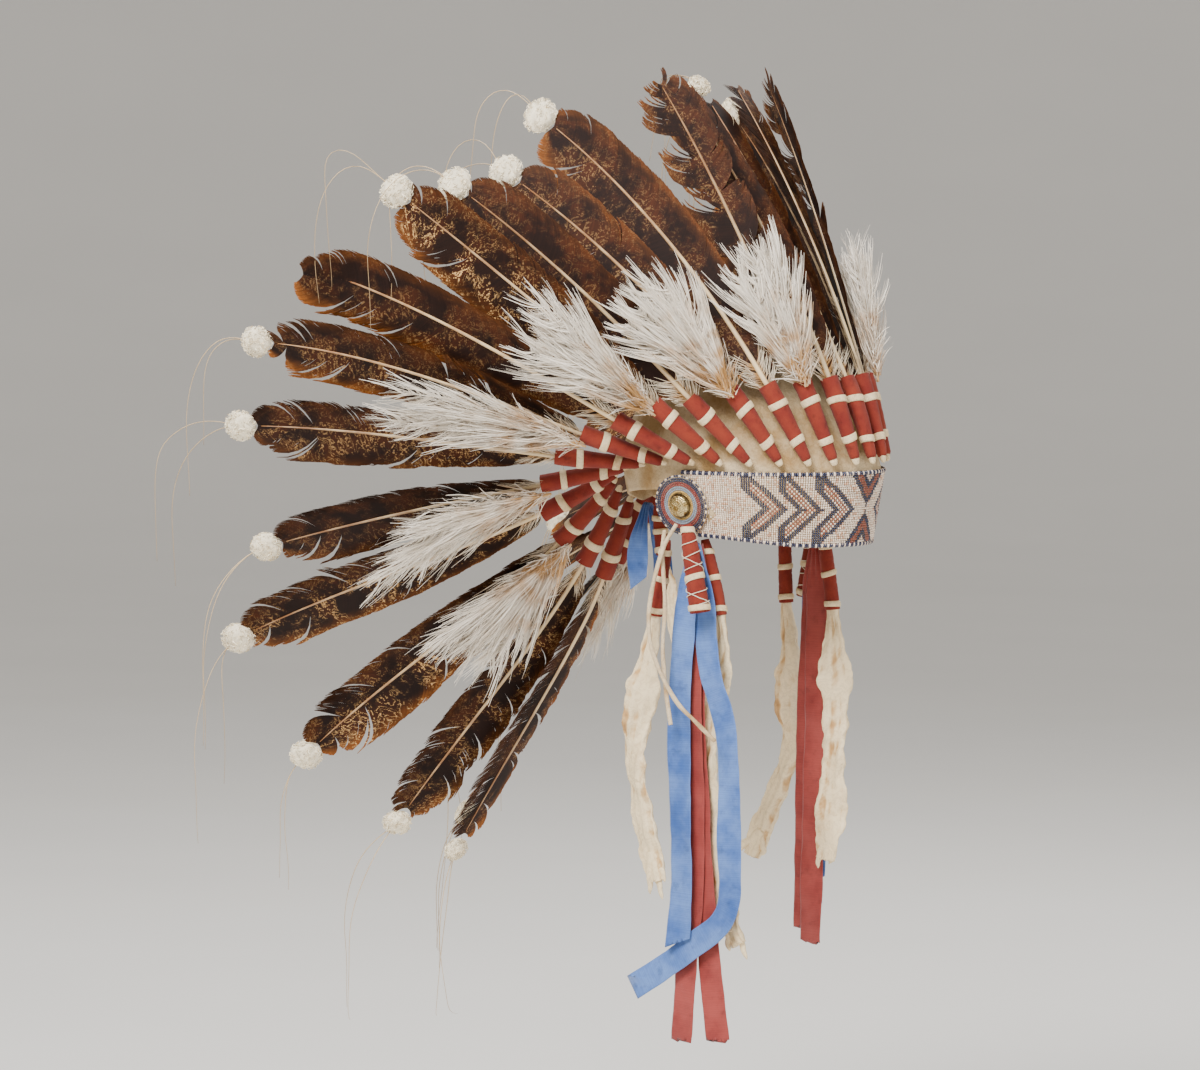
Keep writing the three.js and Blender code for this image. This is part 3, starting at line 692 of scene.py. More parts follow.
@dataclass(frozen=True)
class HeadForm:
    """The head that the cap and the band go round, and the ring of quills on it."""

    front: float = 107.5
    back: float = 97.5
    side: float = 76.5
    crown: float = 92.0
    band: float = 53.0
    band_inward: float = 9.0
    brow_slope: float = 0.3

    def wall(self, angle: Array | float, z: Array | float, offset: float) -> Array:
        """Points on the wall of the head, from the brow at angle 0 round to the nape.

        Args:
            angle: The turn in radians, negative towards the wearer's right.
            z: The height in millimetres.
            offset: How far outside the head.

        Returns:
            Points in millimetres.
        """
        angle, z = np.broadcast_arrays(np.asarray(angle, float), np.asarray(z, float))
        inward = self.band_inward * np.minimum(0.0, z) / self.band
        along = np.where(np.cos(angle) > 0, self.back, self.front) + offset + inward
        return np.stack([along * np.cos(angle), (self.side + offset + inward) * np.sin(angle), z], axis=-1)

    @staticmethod
    def towards_nape(angle: Array | float) -> Array | float:
        """0 from the brow to just behind the temples, and up to 1 at the nape."""
        return np.maximum(0.0, (np.abs(angle) - 95.0 * DEG) / (85.0 * DEG))

    def climb(self, angle: Array | float, rise: Array | float, offset: float) -> Array:
        """Points on the dome above the rim, at an angle round and a climb from 0 to 90 degrees."""
        angle, rise = np.broadcast_arrays(np.asarray(angle, float), np.asarray(rise, float))
        points = self.wall(angle, np.zeros_like(angle), offset) * np.cos(rise)[..., None]
        z = (self.crown + offset) * np.sin(rise)
        points[..., 2] = z
        points[..., 0] -= self.brow_slope * np.minimum(z, 55.0) * np.maximum(0.0, np.cos(angle))
        return points


HEAD = HeadForm()


@dataclass(frozen=True)
class FeatherRow:
    """One feather's lean, bow and size: angles in degrees, lengths in millimetres."""

    base_lean: float
    lean: float
    bow: float
    length: float
    leading: float
    trailing: float
    tuft: float


FEATHERS: tuple[FeatherRow, ...] = (
    FeatherRow(17, 29, 5, 322, 22, 22, 10),
    FeatherRow(17, 28, 5, 309, 21, 28, 0),
    FeatherRow(22, 26, 3, 307, 21, 27, 0),
    FeatherRow(26, 39, 8, 333, 25, 33, 14),
    FeatherRow(30, 44, 6, 303, 25, 34, 14),
    FeatherRow(42, 47, 4, 307, 25, 34, 14),
    FeatherRow(48, 50, 1, 319, 25, 34, 14),
    FeatherRow(62, 63, 5, 317, 25, 34, 0),
    FeatherRow(73, 74, 7, 323, 25, 35, 14),
    FeatherRow(87, 85, 3, 310, 25, 37, 14),
    FeatherRow(102, 103, 2, 289, 25, 36, 14),
    FeatherRow(123, 114, 2, 332, 26, 37, 15),
    FeatherRow(143, 131, 2, 340, 25, 36, 14),
    FeatherRow(158, 144, 0, 333, 23, 32, 12),
    FeatherRow(162, 149, 0, 329, 23, 23, 11),
)


class Quill:
    """The bent line of one feather on the wearer's right, from its base to its tip."""

    ROOT_PULL = 0.3
    TIP_PULL = 0.68

    def __init__(self, number: int) -> None:
        """Lays the quill of a feather by its place from the brow, 0 to 14."""
        row = FEATHERS[number]
        angle = number * 2 * math.pi / FEATHER_COUNT
        base = HEAD.wall(-angle, 0.0, 4.5)
        base[2] = 6.0 - 31.0 * HEAD.towards_nape(angle) ** 2
        outward = 35.0 * DEG * math.sin(math.pi * number / NAPE)
        heading = np.array([-math.cos(outward), -math.sin(outward), 0.0])
        up = np.array([0.0, 0.0, 1.0])

        def reach(lean: float, share: float) -> Array:
            """A point out from the base at a lean and a share of the length."""
            return base + share * row.length * (math.sin(lean * DEG) * heading + math.cos(lean * DEG) * up)

        first = reach(row.base_lean, self.ROOT_PULL)
        second = reach(row.lean - row.bow, self.TIP_PULL)
        t = np.linspace(0, 1, 600)[:, None]
        u = 1 - t
        self._points = u**3 * base + 3 * u * u * t * first + 3 * u * t * t * second + t**3 * reach(row.lean, 1.0)
        steps = np.linalg.norm(np.diff(self._points, axis=0), axis=1)
        self._at = np.concatenate([[0.0], np.cumsum(steps)])
        self.length = float(self._at[-1])

    def at(self, distance: Array) -> Array:
        """Points that many millimetres from the base; past the tip it goes straight on."""
        distance = np.asarray(distance, float)
        points = np.stack([np.interp(distance, self._at, self._points[:, c]) for c in range(3)], axis=-1)
        over = np.maximum(0.0, distance - self._at[-1])[..., None]
        return points + over * unit(self._points[-1] - self._points[-4])

    def along(self, distance: Array) -> Array:
        """Directions that many millimetres from the base."""
        low = np.clip(np.asarray(distance, float) - 1.0, 0.0, self._at[-1] - 2.0)
        return unit(self.at(low + 2.0) - self.at(low))


class Fan:
    """The ring of quills, with the tilt of each feather in it."""

    TILT = 15.0 * DEG
    MIDLINE_SHIFT = 3.0

    def __init__(self) -> None:
        """Lays the quills from the brow to the nape."""
        self.quills = [Quill(i) for i in range(NAPE + 1)]

    def point(self, number: int, distance: Array) -> Array:
        """Points on a quill by number, mirrored past the brow or the nape."""
        if number < 0 or number > NAPE:
            inside = -number if number < 0 else 2 * NAPE - number
            return self.quills[inside].at(distance) * np.array([1.0, -1.0, 1.0])
        return self.quills[number].at(distance)

    def frame(self, number: int, distance: Array) -> tuple[Array, Array, Array, Array]:
        """The place and tilt of a feather on the wearer's right.

        Args:
            number: The feather's place from the brow, 0 to 14.
            distance: Millimetres from the base.

        Returns:
            Centres, and unit vectors along, across towards the nape, and out of the fan.
        """
        distance = np.atleast_1d(np.asarray(distance, float))
        centre = self.point(number, distance)
        along = self.quills[number].along(distance)
        span = self.point(number + 1, distance) - self.point(number - 1, distance)
        wide = unit(span - (span * along).sum(-1, keepdims=True) * along)
        thick = np.cross(along, wide)
        if number in (0, NAPE):
            shift = self.MIDLINE_SHIFT * smooth(33.0, 103.0, distance) * (-1 if number == 0 else 1)
            return centre + shift[:, None] * thick, along, wide, thick
        tilted = wide * math.cos(self.TILT) - thick * math.sin(self.TILT)
        return centre, along, tilted, thick * math.cos(self.TILT) + wide * math.sin(self.TILT)


FAN = Fan()


# --------------------------------------------------------------------------- cords


@dataclass
class Lace:
    """A free buckskin lace that hangs from the right temple.

    Attributes:
        name: The piece's name.
        node: The construction node that it takes the place of.
        points: Its route, as X, distance outwards and Z.
        radius: Half its thickness.
    """

    name: str
    node: str
    points: tuple[tuple[float, float, float], ...]
    radius: float = 1.6

    def build(self, finish: Material) -> Object:
        path = Path([(x, -out, z) for x, out, z in self.points])
        stations = np.linspace(0.0, path.length, int(path.length / 1.6))
        centres, along = path.at(stations), path.along(stations)
        wide = unit(np.cross(along, np.array([0.0, 1.0, 0.0])))
        thick = np.cross(along, wide)
        turn = stations * 0.09 + ripple(stations * 0.03, self.points[0][0])
        first = wide * np.cos(turn)[:, None] + thick * np.sin(turn)[:, None]
        second = np.cross(along, first)
        swell = 1.0 + 0.07 * ripple(stations * 0.11, 3.0 + self.points[0][0])
        draft = Draft()
        rings = tube_rings(centres, first, second, self.radius * 1.06 * swell, self.radius * 0.9 * swell, 12)
        draft.loft(rings, along=(stations / path.length)[:, None])
        piece = draft.build(self.name, [finish])
        dress(piece, "thong_hide", self.node)
        LOG.info("%s: lace %.0f mm long", self.name, path.length)
        return piece


def dress(piece: Object, slot: str, *nodes: str) -> Object:
    """Seats a finished piece on the headdress.

    Args:
        piece: The piece.
        slot: Not used.
        nodes: The construction nodes that it takes the place of.

    Returns:
        The piece.
    """
    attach(piece, "root")
    if nodes:
        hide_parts(*nodes)
    return piece


# --------------------------------------------------------------------------- cap, band, rosettes


@dataclass
class Cap:
    """The hide skullcap under everything, a thin shell open below."""

    wall: float = 2.5
    rim_drop: float = 14.0
    nape_drop: float = 14.0
    around: int = 90
    skirt_rows: int = 7
    dome_rows: int = 26

    def build(self, finish: Material) -> Object:
        """Builds the shell, with soft dents on its outside."""
        draft = Draft()
        angle = np.arange(self.around) * 2 * math.pi / self.around
        angle = (angle + math.pi) % (2 * math.pi) - math.pi
        edge = -self.rim_drop - self.nape_drop * HEAD.towards_nape(angle) ** 2
        rings = []
        for offset, order in ((0.0, 1), (-self.wall, -1)):
            skirt = [HEAD.wall(angle, edge * (1 - s), offset) for s in np.linspace(0, 1, self.skirt_rows, endpoint=False)]
            dome = [HEAD.climb(angle, r, offset) for r in np.linspace(0, 0.5 * math.pi - 0.02, self.dome_rows)]
            shell = np.array(skirt + dome)
            dent = 0.35 * ripple(shell[..., 0] * 0.06 + shell[..., 2] * 0.05, 2.0) * ripple(shell[..., 1] * 0.05, 5.0)
            shell = shell - np.abs(dent)[..., None] * unit(shell * np.array([1, 1, 0.7])) if offset == 0 else shell
            rings.append(shell[::order])
        draft.loft(np.concatenate([rings[1], rings[0]]), capped=False)
        piece = draft.build("cap_hide_shell", [finish])
        self._close(piece, len(rings[0]) * 2)
        dress(piece, "cap_hide", "cap")
        LOG.info("cap: %d faces", len(piece.data.polygons))
        return piece

    def _close(self, piece: Object, rows: int) -> None:
        """Closes the inner and the outer crown; the loft already joins the inner rim to the outer one."""
        work = bmesh.new()
        work.from_mesh(piece.data)
        work.verts.ensure_lookup_table()
        around = self.around
        top_inner = [work.verts[i] for i in range(around)]
        top_outer = [work.verts[(rows - 1) * around + i] for i in range(around)]
        work.faces.new(top_inner)
        work.faces.new(top_outer[::-1])
        bmesh.ops.recalc_face_normals(work, faces=work.faces)
        for face in work.faces:
            face.smooth = True
        work.to_mesh(piece.data)
        work.free()


class BeadColour(Enum):
    """The colours of glass bead in the work, with each one's screen colour."""

    GROUND = "e2cdb8"
    BLUSH = "cf9f80"
    NAVY = "1a1f3c"
    RUST = "8a4632"
    RED = "7c2a24"
    STEEL = "7f8b98"
    GOLD = "b8924a"


class BeadBox:
    """Holds a finish for each bead colour, and the shape of one bead."""

    ORDER: tuple[BeadColour, ...] = tuple(BeadColour)

    def __init__(self) -> None:
        """Makes the finishes."""
        self.finishes = [
            BeadFinish(f"bead_{c.name.lower()}", roughness=0.34, colour=c.value, specular=0.5).make() for c in self.ORDER
        ]

    @staticmethod
    def lay(draft: Draft, centres: Array, out: Array, axis: Array, size: Array, slot: int, seeds: Array) -> None:
        """Adds beads as low barrels that lie on a surface, each with its hole along its axis.

        Args:
            draft: Where they go.
            centres: Points on the surface, one to a bead.
            out: Unit vectors out of the surface.
            axis: Unit vectors along each bead's hole.
            size: Length, width and height of each bead.
            slot: Its finish.
            seeds: A number from 0 to 1 for each.
        """
        side = np.cross(out, axis)
        ring = np.array([(-1.0, 0.0), (-0.72, 0.72), (0.0, 1.0), (0.72, 0.72), (1.0, 0.0)])
        slices = np.array([(-0.5, 0.62), (-0.22, 1.0), (0.22, 1.0), (0.5, 0.62)])
        length, width, height = size[:, 0, None, None], size[:, 1, None, None], size[:, 2, None, None]
        shape = []
        for place, share in slices:
            across = 0.5 * width * share * ring[None, :, 0, None]
            lift = height * (0.0 + share * ring[None, :, 1, None])
            shape.append(
                centres[:, None] + place * length * axis[:, None] + across * side[:, None] + lift * out[:, None]
            )
        points = np.stack(shape, axis=1)
        count = len(centres)
        block = len(slices) * len(ring)
        quads = [
            (s * 5 + r, s * 5 + r + 1, (s + 1) * 5 + r + 1, (s + 1) * 5 + r) for s in range(3) for r in range(4)
        ]
        faces = (np.arange(count)[:, None, None] * block + np.array(quads)[None]).reshape(-1, 4)
        # The value 'across' holds each point's height on the bead, 0 at its low sides and 1 on top; the bead finish
        # paints shade from it.
        high = np.broadcast_to(ring[None, None, :, 1], (count, len(slices), len(ring)))
        seed = np.broadcast_to(seeds[:, None], (count, block))
        draft.add(points.reshape(-1, 3), faces, slot, seed=seed.ravel(), across=high.ravel())


@dataclass
class BrowBand:
    """The loomed band from temple to temple, a hide strip under rows of beads."""

    half_turn: float = 98.0
    inner: float = 0.3
    strip: float = 1.5
    height_front: float = 53.0
    height_temple: float = 46.0
    rows: int = 31
    pitch: float = 1.7
    chevrons: tuple[float, ...] = (58.0, 42.5, 27.0)
    lacing: float = 2.3

    def __post_init__(self) -> None:
        """Measures the band round its outside."""
        self._angles = np.linspace(0.0, self.half_turn * DEG, 400)
        line = HEAD.wall(self._angles, -26.0, self.inner + self.strip)
        self._arc = np.concatenate([[0.0], np.cumsum(np.linalg.norm(np.diff(line, axis=0), axis=1))])

    def height(self, angle: Array) -> Array:
        """The band's height at an angle."""
        drop = smooth(30 * DEG, self.half_turn * DEG, np.abs(angle))
        return self.height_front - (self.height_front - self.height_temple) * drop

    def colour(self, column: int, row: int) -> BeadColour:
        """The bead colour by column from the brow's middle and row from the top.

        Args:
            column: Columns from the front middle, 0 and up.
            row: Rows from the top edge.

        Returns:
            The colour.
        """
        for edge in (0.0, float(self.rows - 1)):
            fall = abs(row - edge)
            low = 14.0 - 1.25 * column
            if column <= 11 and low - 10 <= fall <= low:
                return BeadColour.RUST if low - 7 <= fall < low - 3 else BeadColour.NAVY
        middle = abs(row - 0.5 * (self.rows - 1))
        for left in self.chevrons:
            in_by = left - column
            outer, inner = 19.5 - 1.05 * middle, 11.5 - 1.05 * middle
            if 0 <= in_by and (outer - 3 <= in_by <= outer or inner - 3 <= in_by <= inner):
                return BeadColour.NAVY
            if 0 <= in_by <= 3 and middle > 8 and in_by < outer:
                return BeadColour.NAVY
            if 0 <= in_by and inner < in_by < outer - 3:
                return BeadColour.RUST if (column + row) % 2 else BeadColour.GROUND
        return BeadColour.GROUND

    def build(self, hide: Material, beads: BeadBox) -> Object:
        """Builds the strip and lays every bead on it."""
        rng = np.random.default_rng(53)
        draft = Draft()
        self._strip(draft, len(beads.finishes))
        columns = int(self._arc[-1] / self.pitch)
        spots: dict[BeadColour, list[tuple[float, float]]] = {c: [] for c in BeadColour}
        for column in range(-columns + 1, columns):
            for row in range(self.rows):
                worn = column < -66 and (column + 74) ** 2 + (row - 20) ** 2 < 11 and rng.random() < 0.55
                kind = self.colour(abs(column), row)
                if kind is BeadColour.GROUND and rng.random() < 0.16:
                    kind = BeadColour.BLUSH
                if not worn:
                    spots[kind].append((column * self.pitch, row + 0.5))
        for colour, places in spots.items():
            if places:
                self._lay(draft, np.array(places), BeadBox.ORDER.index(colour), rng)
        self._lace_edges(draft, rng)
        piece = draft.build("brow_band_beadwork", [*beads.finishes, hide])
        dress(piece, "beadwork", "brow_band")
        LOG.info("brow band: %d columns, %d faces", 2 * columns, len(piece.data.polygons))
        return piece

    def _place(self, arc: Array, fall: Array, offset: float) -> Array:
        """Points by distance round the band and share of its height from the top."""
        angle = np.sign(arc) * np.interp(np.abs(arc), self._arc, self._angles)
        return HEAD.wall(angle, -self.height(angle) * fall, offset)

    def _lay(self, draft: Draft, places: Array, slot: int, rng: np.random.Generator) -> None:
        """Lays the beads of one colour, each a little out of line."""
        arc = places[:, 0] + rng.normal(0, 0.05, len(places))
        fall = places[:, 1] / self.rows
        offset = self.inner + self.strip
        here = self._place(arc, fall, offset)
        round_by = unit(self._place(arc + 0.5, fall, offset) - self._place(arc - 0.5, fall, offset))
        up = unit(self._place(arc, fall - 0.01, offset) - self._place(arc, fall + 0.01, offset))
        up = unit(up + rng.normal(0, 0.05, up.shape))
        out = unit(np.cross(round_by, up)) * np.sign((np.cross(round_by, up) * here).sum(-1, keepdims=True))
        tall = self.height(0.0) / self.rows
        size = np.stack([np.full(len(here), tall * 0.9), np.full(len(here), self.pitch * 0.86), np.full(len(here), 1.1)], -1)
        size *= rng.normal(1.0, 0.045, size.shape).clip(0.88, 1.07)
        here = here + out * rng.normal(0, 0.07, (len(here), 1))
        BeadBox.lay(draft, here, out, up, size, slot, rng.random(len(here)))

    def _lace_edges(self, draft: Draft, rng: np.random.Generator) -> None:
        """Lays the rolled edge beads, two navy to one white, over both long edges."""
        for edge in (0.0, 1.0):
            arcs = np.arange(-self._arc[-1] + 2, self._arc[-1] - 2, self.lacing * 0.72)
            for kind, colour in ((0, BeadColour.NAVY), (1, BeadColour.NAVY), (2, BeadColour.GROUND)):
                arc = arcs[kind::3]
                fall = np.full_like(arc, 0.008 if edge == 0 else 0.992)
                here = self._place(arc, fall, self.inner + self.strip - 0.2)
                round_by = unit(self._place(arc + 0.5, fall, 1.0) - self._place(arc - 0.5, fall, 1.0))
                out = unit(here * np.array([1, 1, 0]) + np.array([0, 0, 18.0 if edge == 0 else -18.0]))
                axis = np.cross(out, round_by)
                size = np.tile([self.lacing * 1.3, self.lacing * 0.8, 1.7], (len(arc), 1)) * rng.normal(1, 0.05, (len(arc), 3))
                BeadBox.lay(draft, here, out, axis, size, BeadBox.ORDER.index(colour), rng.random(len(arc)))

    def _strip(self, draft: Draft, slot: int) -> None:
        """Adds the hide strip under the beads, a closed band with rounded edges."""
        arcs = np.linspace(-self._arc[-1], self._arc[-1], 150)
        section = [(0.0, 0.0), (0.002, 1.0), (0.25, 1.0), (0.5, 1.0), (0.75, 1.0), (0.998, 1.0), (1.0, 0.0)]
        section += [(0.75, 0.0), (0.5, 0.0), (0.25, 0.0)]
        rings = np.stack([self._place(arcs, np.full_like(arcs, f), self.inner + self.strip * o) for f, o in section], axis=1)
        draft.loft(rings, slot, seed=0.5, across=1.0)


@dataclass
class Rosette:
    """A beaded disc at one temple, with its brass boss."""

    side: int
    radius: float = 22.4
    disc: float = 2.3
    boss_radius: float = 9.0
    boss_height: float = 5.0
    boss_lift: float = 3.3
    pitch: float = 1.62
    rings: tuple[BeadColour, ...] = (
        BeadColour.NAVY,
        BeadColour.NAVY,
        BeadColour.NAVY,
        BeadColour.RED,
        BeadColour.RED,
        BeadColour.STEEL,
        BeadColour.STEEL,
        BeadColour.GOLD,
        BeadColour.GOLD,
    )

    def __post_init__(self) -> None:
        """Finds the disc's place and turn on the temple."""
        turn = -self.side * (90 * DEG + math.atan2(HEAD.band_inward, HEAD.band))
        wall = HEAD.wall(self.side * 90 * DEG, -24.0, 3.1)
        self._frame = Matrix.Translation((-14.0, wall[1], -24.0)) @ Matrix.Rotation(turn, 4, "X")

    @property
    def tag(self) -> str:
        """The letter of the wearer's side."""
        return "r" if self.side == RIGHT else "l"

    def seat(self, points: Array) -> Array:
        """Moves local points to the temple."""
        matrix = np.array(self._frame)
        return np.asarray(points, float) @ matrix[:3, :3].T + matrix[:3, 3]

    def build(self, hide: Material, beads: BeadBox, brass: Material) -> list[Object]:
        """Builds the disc with its rings of beads, and the boss."""
        rng = np.random.default_rng(17 + self.side)
        turn = np.array(self._frame)[:3, :3]
        draft = Draft()
        profile = [(0.02, 0.0), (0.55, 0.0), (0.93, 0.0), (1.0, 0.4), (1.0, 0.8), (0.97, 1.0), (0.6, 1.12), (0.02, 1.2)]
        angle = np.arange(72) * 2 * math.pi / 72
        circle = np.stack([np.cos(angle), np.sin(angle), np.zeros_like(angle)], -1)
        disc = np.array([circle * self.radius * r + np.array([0, 0, h * self.disc]) for r, h in profile])
        draft.loft(self.seat(disc), len(beads.finishes), seed=0.5, across=1.0)
        for number, colour in enumerate(self.rings):
            radius = self.radius - 0.8 - number * self.pitch
            count = int(2 * math.pi * radius / (self.pitch * (1.35 if number == 0 else 0.92)))
            spots = np.arange(count)
            white = (spots % 3 == 0) if number == 0 else np.zeros(count, bool)
            for mask, slot in ((~white, BeadBox.ORDER.index(colour)), (white, BeadBox.ORDER.index(BeadColour.GROUND))):
                if not mask.any():
                    continue
                at = (spots[mask] + 0.5 * (number % 2)) * 2 * math.pi / count + rng.normal(0, 0.004, mask.sum())
                height = self.disc * (0.98 + 0.2 * number / len(self.rings)) - (0.3 if number == 0 else 0.0)
                around = np.stack([np.cos(at), np.sin(at), np.zeros_like(at)], -1)
                axis = np.stack([-np.sin(at), np.cos(at), np.zeros_like(at)], -1)
                lift = np.array([0, 0, height])
                out = unit(np.array([0, 0, 1.0]) + around * (0.7 if number == 0 else 0.05))
                long = 2 * math.pi * radius / count * 0.94
                size = np.tile([long, self.pitch * 0.98, 1.0], (mask.sum(), 1)) * rng.normal(1, 0.05, (mask.sum(), 3))
                BeadBox.lay(
                    draft, self.seat(around * radius + lift), out @ turn.T, axis @ turn.T, size, slot, rng.random(mask.sum())
                )
        piece = draft.build(f"rosette_beads_{self.tag}", [*beads.finishes, hide])
        dress(piece, "rosette_beadwork", f"rosette_{self.tag}")
        LOG.info("rosette %s: %d faces", self.tag, len(piece.data.polygons))
        return [piece, self._boss(brass)]

    def _boss(self, brass: Material) -> Object:
        """Builds the domed button with its pebbled face and rolled rim."""
        rng = np.random.default_rng(9)
        around, rows = 90, 32
        angle = np.arange(around) * 2 * math.pi / around
        share = np.linspace(0, 1, rows)
        radius = np.sin(share * 0.5 * math.pi) * self.boss_radius
        height = np.cos(share * 0.5 * math.pi) ** 0.9 * self.boss_height
        knobs = [(0.0, 0.0)]
        for ring in range(1, 6):
            count = 6 * ring
            knobs += [(ring * 1.45, 2 * math.pi * (k + 0.5 * (ring % 2)) / count) for k in range(count)]
        spots = np.array([(r * math.cos(a), r * math.sin(a)) for r, a in knobs]) + rng.normal(0, 0.08, (len(knobs), 2))
        flat = np.stack([radius[:, None] * np.cos(angle), radius[:, None] * np.sin(angle)], -1)
        gap = np.linalg.norm(flat[:, :, None] - spots[None, None], axis=-1).min(-1)
        knob = np.sqrt(np.maximum(0.0, 1 - (gap / 0.8) ** 2))
        bump = 0.55 * knob * smooth(1.0, 0.86, share)[:, None]
        z = self.boss_lift + height[:, None] * 0.92 + bump
        top = np.concatenate([flat, z[..., None]], -1)
        rim = np.stack([np.cos(angle), np.sin(angle), np.zeros_like(angle)], -1)
        roll = [(1.03, 0.35), (1.04, 0.1), (1.0, -0.1), (0.9, -0.1)]
        lower = np.array([rim * self.boss_radius * r + np.array([0, 0, self.boss_lift + h]) for r, h in roll])
        rings = np.concatenate([top[1:], lower])
        mask = np.concatenate([knob[1:], np.full((4, around), 0.7)])
        draft = Draft()
        draft.loft(self.seat(rings), 0, across=mask)
        piece = draft.build(f"boss_brass_{self.tag}", [brass])
        return dress(piece, "boss_brass", f"boss_{self.tag}")


# --------------------------------------------------------------------------- feathers


@dataclass
class Feather:
    """One tail feather with its wrapped base, shaft, vane, tuft and horsehair.

    Attributes:
        number: Its place from the brow, 0 to 14.
        side: RIGHT or LEFT; the two midline feathers count as RIGHT.
        mottle: How strongly pale marks show in the vane.
        barbs: Barbs on each side of the shaft.
        strands: Horsehair strands at the tip.
        frayed: The share of the vane's bunches that stand apart.
        curl: How far the tip curls out of the fan, in millimetres.
    """

    number: int
    side: int
    mottle: float = 0.35
    barbs: int = 310
    strands: int = 2
    frayed: float = 0.3
    curl: float = 0.0

    WRAP_END = 66.0
    VANE_START = 69.0
    TUFT_ROOM = 24.0
    WRAP: tuple[tuple[float, float], ...] = ((0, 2.4), (6, 3.6), (24, 5.1), (48, 6.4), (66, 6.7))
    SPREAD: tuple[tuple[float, float], ...] = ((0, 0.3), (0.12, 0.6), (0.32, 0.9), (0.6, 1.0), (0.88, 0.97), (1, 0.82))

    def __post_init__(self) -> None:
        """Looks up the row, and seeds the feather's own chance."""
        self.row = FEATHERS[self.number]
        self.rng = np.random.default_rng(1000 + 10 * self.number + self.side)
        self.length = FAN.quills[self.number].length
        self.end = self.length - (self.TUFT_ROOM if self.row.tuft else 1.0)
        self.tone = self.rng.random()

    @property
    def node(self) -> str:
        """The name of its construction node."""
        if self.number in (0, NAPE):
            return f"feather_{self.number:02d}_m"
        return f"feather_{self.number:02d}_{'r' if self.side == RIGHT else 'l'}"

    def frame(self, distance: Array) -> tuple[Array, Array, Array, Array]:
        """The fan's frame at distances of any shape."""
        distance = np.asarray(distance, float)
        parts = FAN.frame(self.number, distance.ravel())
        return tuple(p.reshape(*distance.shape, 3) for p in parts)

    def place(self, distance: Array, across: Array, out: Array) -> Array:
        """Points by distance along, millimetres across towards the nape, and out of the fan."""
        centre, _, wide, thick = self.frame(distance)
        return centre + wide * np.asarray(across)[..., None] + thick * np.asarray(out)[..., None]

    def build(self, kit: "FeatherKit") -> Object:
        """Builds the whole feather as one piece.

        Args:
            kit: The finishes that all feathers share.

        Returns:
            The piece.
        """
        draft = Draft()
        self._wrap(draft)
        self._shaft(draft)
        for edge in (-1, 1):
            self._vane(draft, edge)
        self._under_down(draft)
        if self.row.tuft:
            self._tuft(draft)
        self._horsehair(draft)
        if self.side == LEFT:
            draft.mirror()
        piece = draft.build(self.node + "_dressed", kit.slots)
        return dress(piece, "feather", self.node)

    def _wrap(self, draft: Draft) -> None:
        """Adds the hide nub, the cloth tube with its lapped seam and open rim, and the bands."""
        around = 26
        turn = np.arange(around) * 2 * math.pi / around
        lap_at = self.rng.uniform(0, 2 * math.pi)
        stations = np.concatenate([np.linspace(4.5, self.WRAP_END, 32), [66.4, 66.2, 64.5, 60.0, 57.0]])
        inner = np.concatenate([np.zeros(33), [0.9, 1.3, 1.4, 3.5]])
        radius = blend_rows(self.WRAP, np.minimum(stations, self.WRAP_END))[:, 0] - inner
        lap = ((turn[None, :] - lap_at - 0.006 * stations[:, None]) % (2 * math.pi)) / (2 * math.pi)
        step = 0.55 * smooth(0.0, 0.12, lap) * smooth(1.0, 0.97, lap)
        crease = 0.16 * ripple(stations[:, None] * 0.22 + 0.5 * np.sin(turn)[None], self.number + 0.3 * self.side)
        flare = 0.5 * smooth(58.0, 66.0, stations)[:, None] * np.sin(2 * turn + self.number)[None, :]
        whole = radius[:, None] - 0.35 + (step + crease + flare) * (stations > 5)[:, None]
        centre, _, wide, thick = self.frame(stations)
        rings = tube_rings(centre, wide, thick, whole, whole, around)
        draft.loft(rings, FeatherKit.CLOTH, along=stations[:, None], across=(turn * 6.0)[None, :])
        nub = np.linspace(0.0, 6.0, 9)
        size = np.interp(nub, [0, 0.7, 3, 6], [0.9, 2.1, 2.9, 3.2]) * (1 + 0.05 * ripple(nub, self.number))
        centre, _, wide, thick = self.frame(nub)
        draft.loft(tube_rings(centre, wide, thick, size, size * 0.85, 14), FeatherKit.HIDE)
        for middle in (19.7 + self.rng.normal(0, 0.6), 49.0 + self.rng.normal(0, 0.8)):
            self._band(draft, middle)

    def _band(self, draft: Draft, middle: float) -> None:
        """Adds one tied hide band round the cloth, a little tilted."""
        around = 26
        turn = np.arange(around) * 2 * math.pi / around
        tilt = self.rng.uniform(0.4, 1.3) * np.cos(turn - self.rng.uniform(0, 6.28))
        width = self.rng.uniform(2.4, 3.0)
        profile = [(-1.0, 0.1), (-0.96, 0.75), (-0.6, 1.05), (0.0, 0.95), (0.6, 1.05), (0.96, 0.75), (1.0, 0.1)]
        rings = []
        for share, lift in profile:
            at = middle + share * width + tilt
            radius = blend_rows(self.WRAP, at)[:, 0] + lift + 0.1 * ripple(turn * 1.3, self.number + middle)
            centre, _, wide, thick = self.frame(at)
            rings.append(centre + wide * (radius * np.cos(turn))[:, None] + thick * (radius * np.sin(turn))[:, None])
        draft.loft(np.array(rings), FeatherKit.HIDE, capped=False)

    def _shaft(self, draft: Draft) -> None:
        """Adds the tapered quill shaft, oval in section and set a little out of the fan."""
        stations = np.linspace(56.0, self.end - 3.0, 40)
        share = (stations - 56.0) / (self.end - 56.0)
        half = 1.75 * (1 - share) ** 0.75 + 0.28
        centre, _, wide, thick = self.frame(stations)
        rings = tube_rings(centre + 0.2 * thick, wide, thick, half, half * 0.85, 8)
        draft.loft(rings, FeatherKit.SHAFT, along=share[:, None], seed=self.tone)

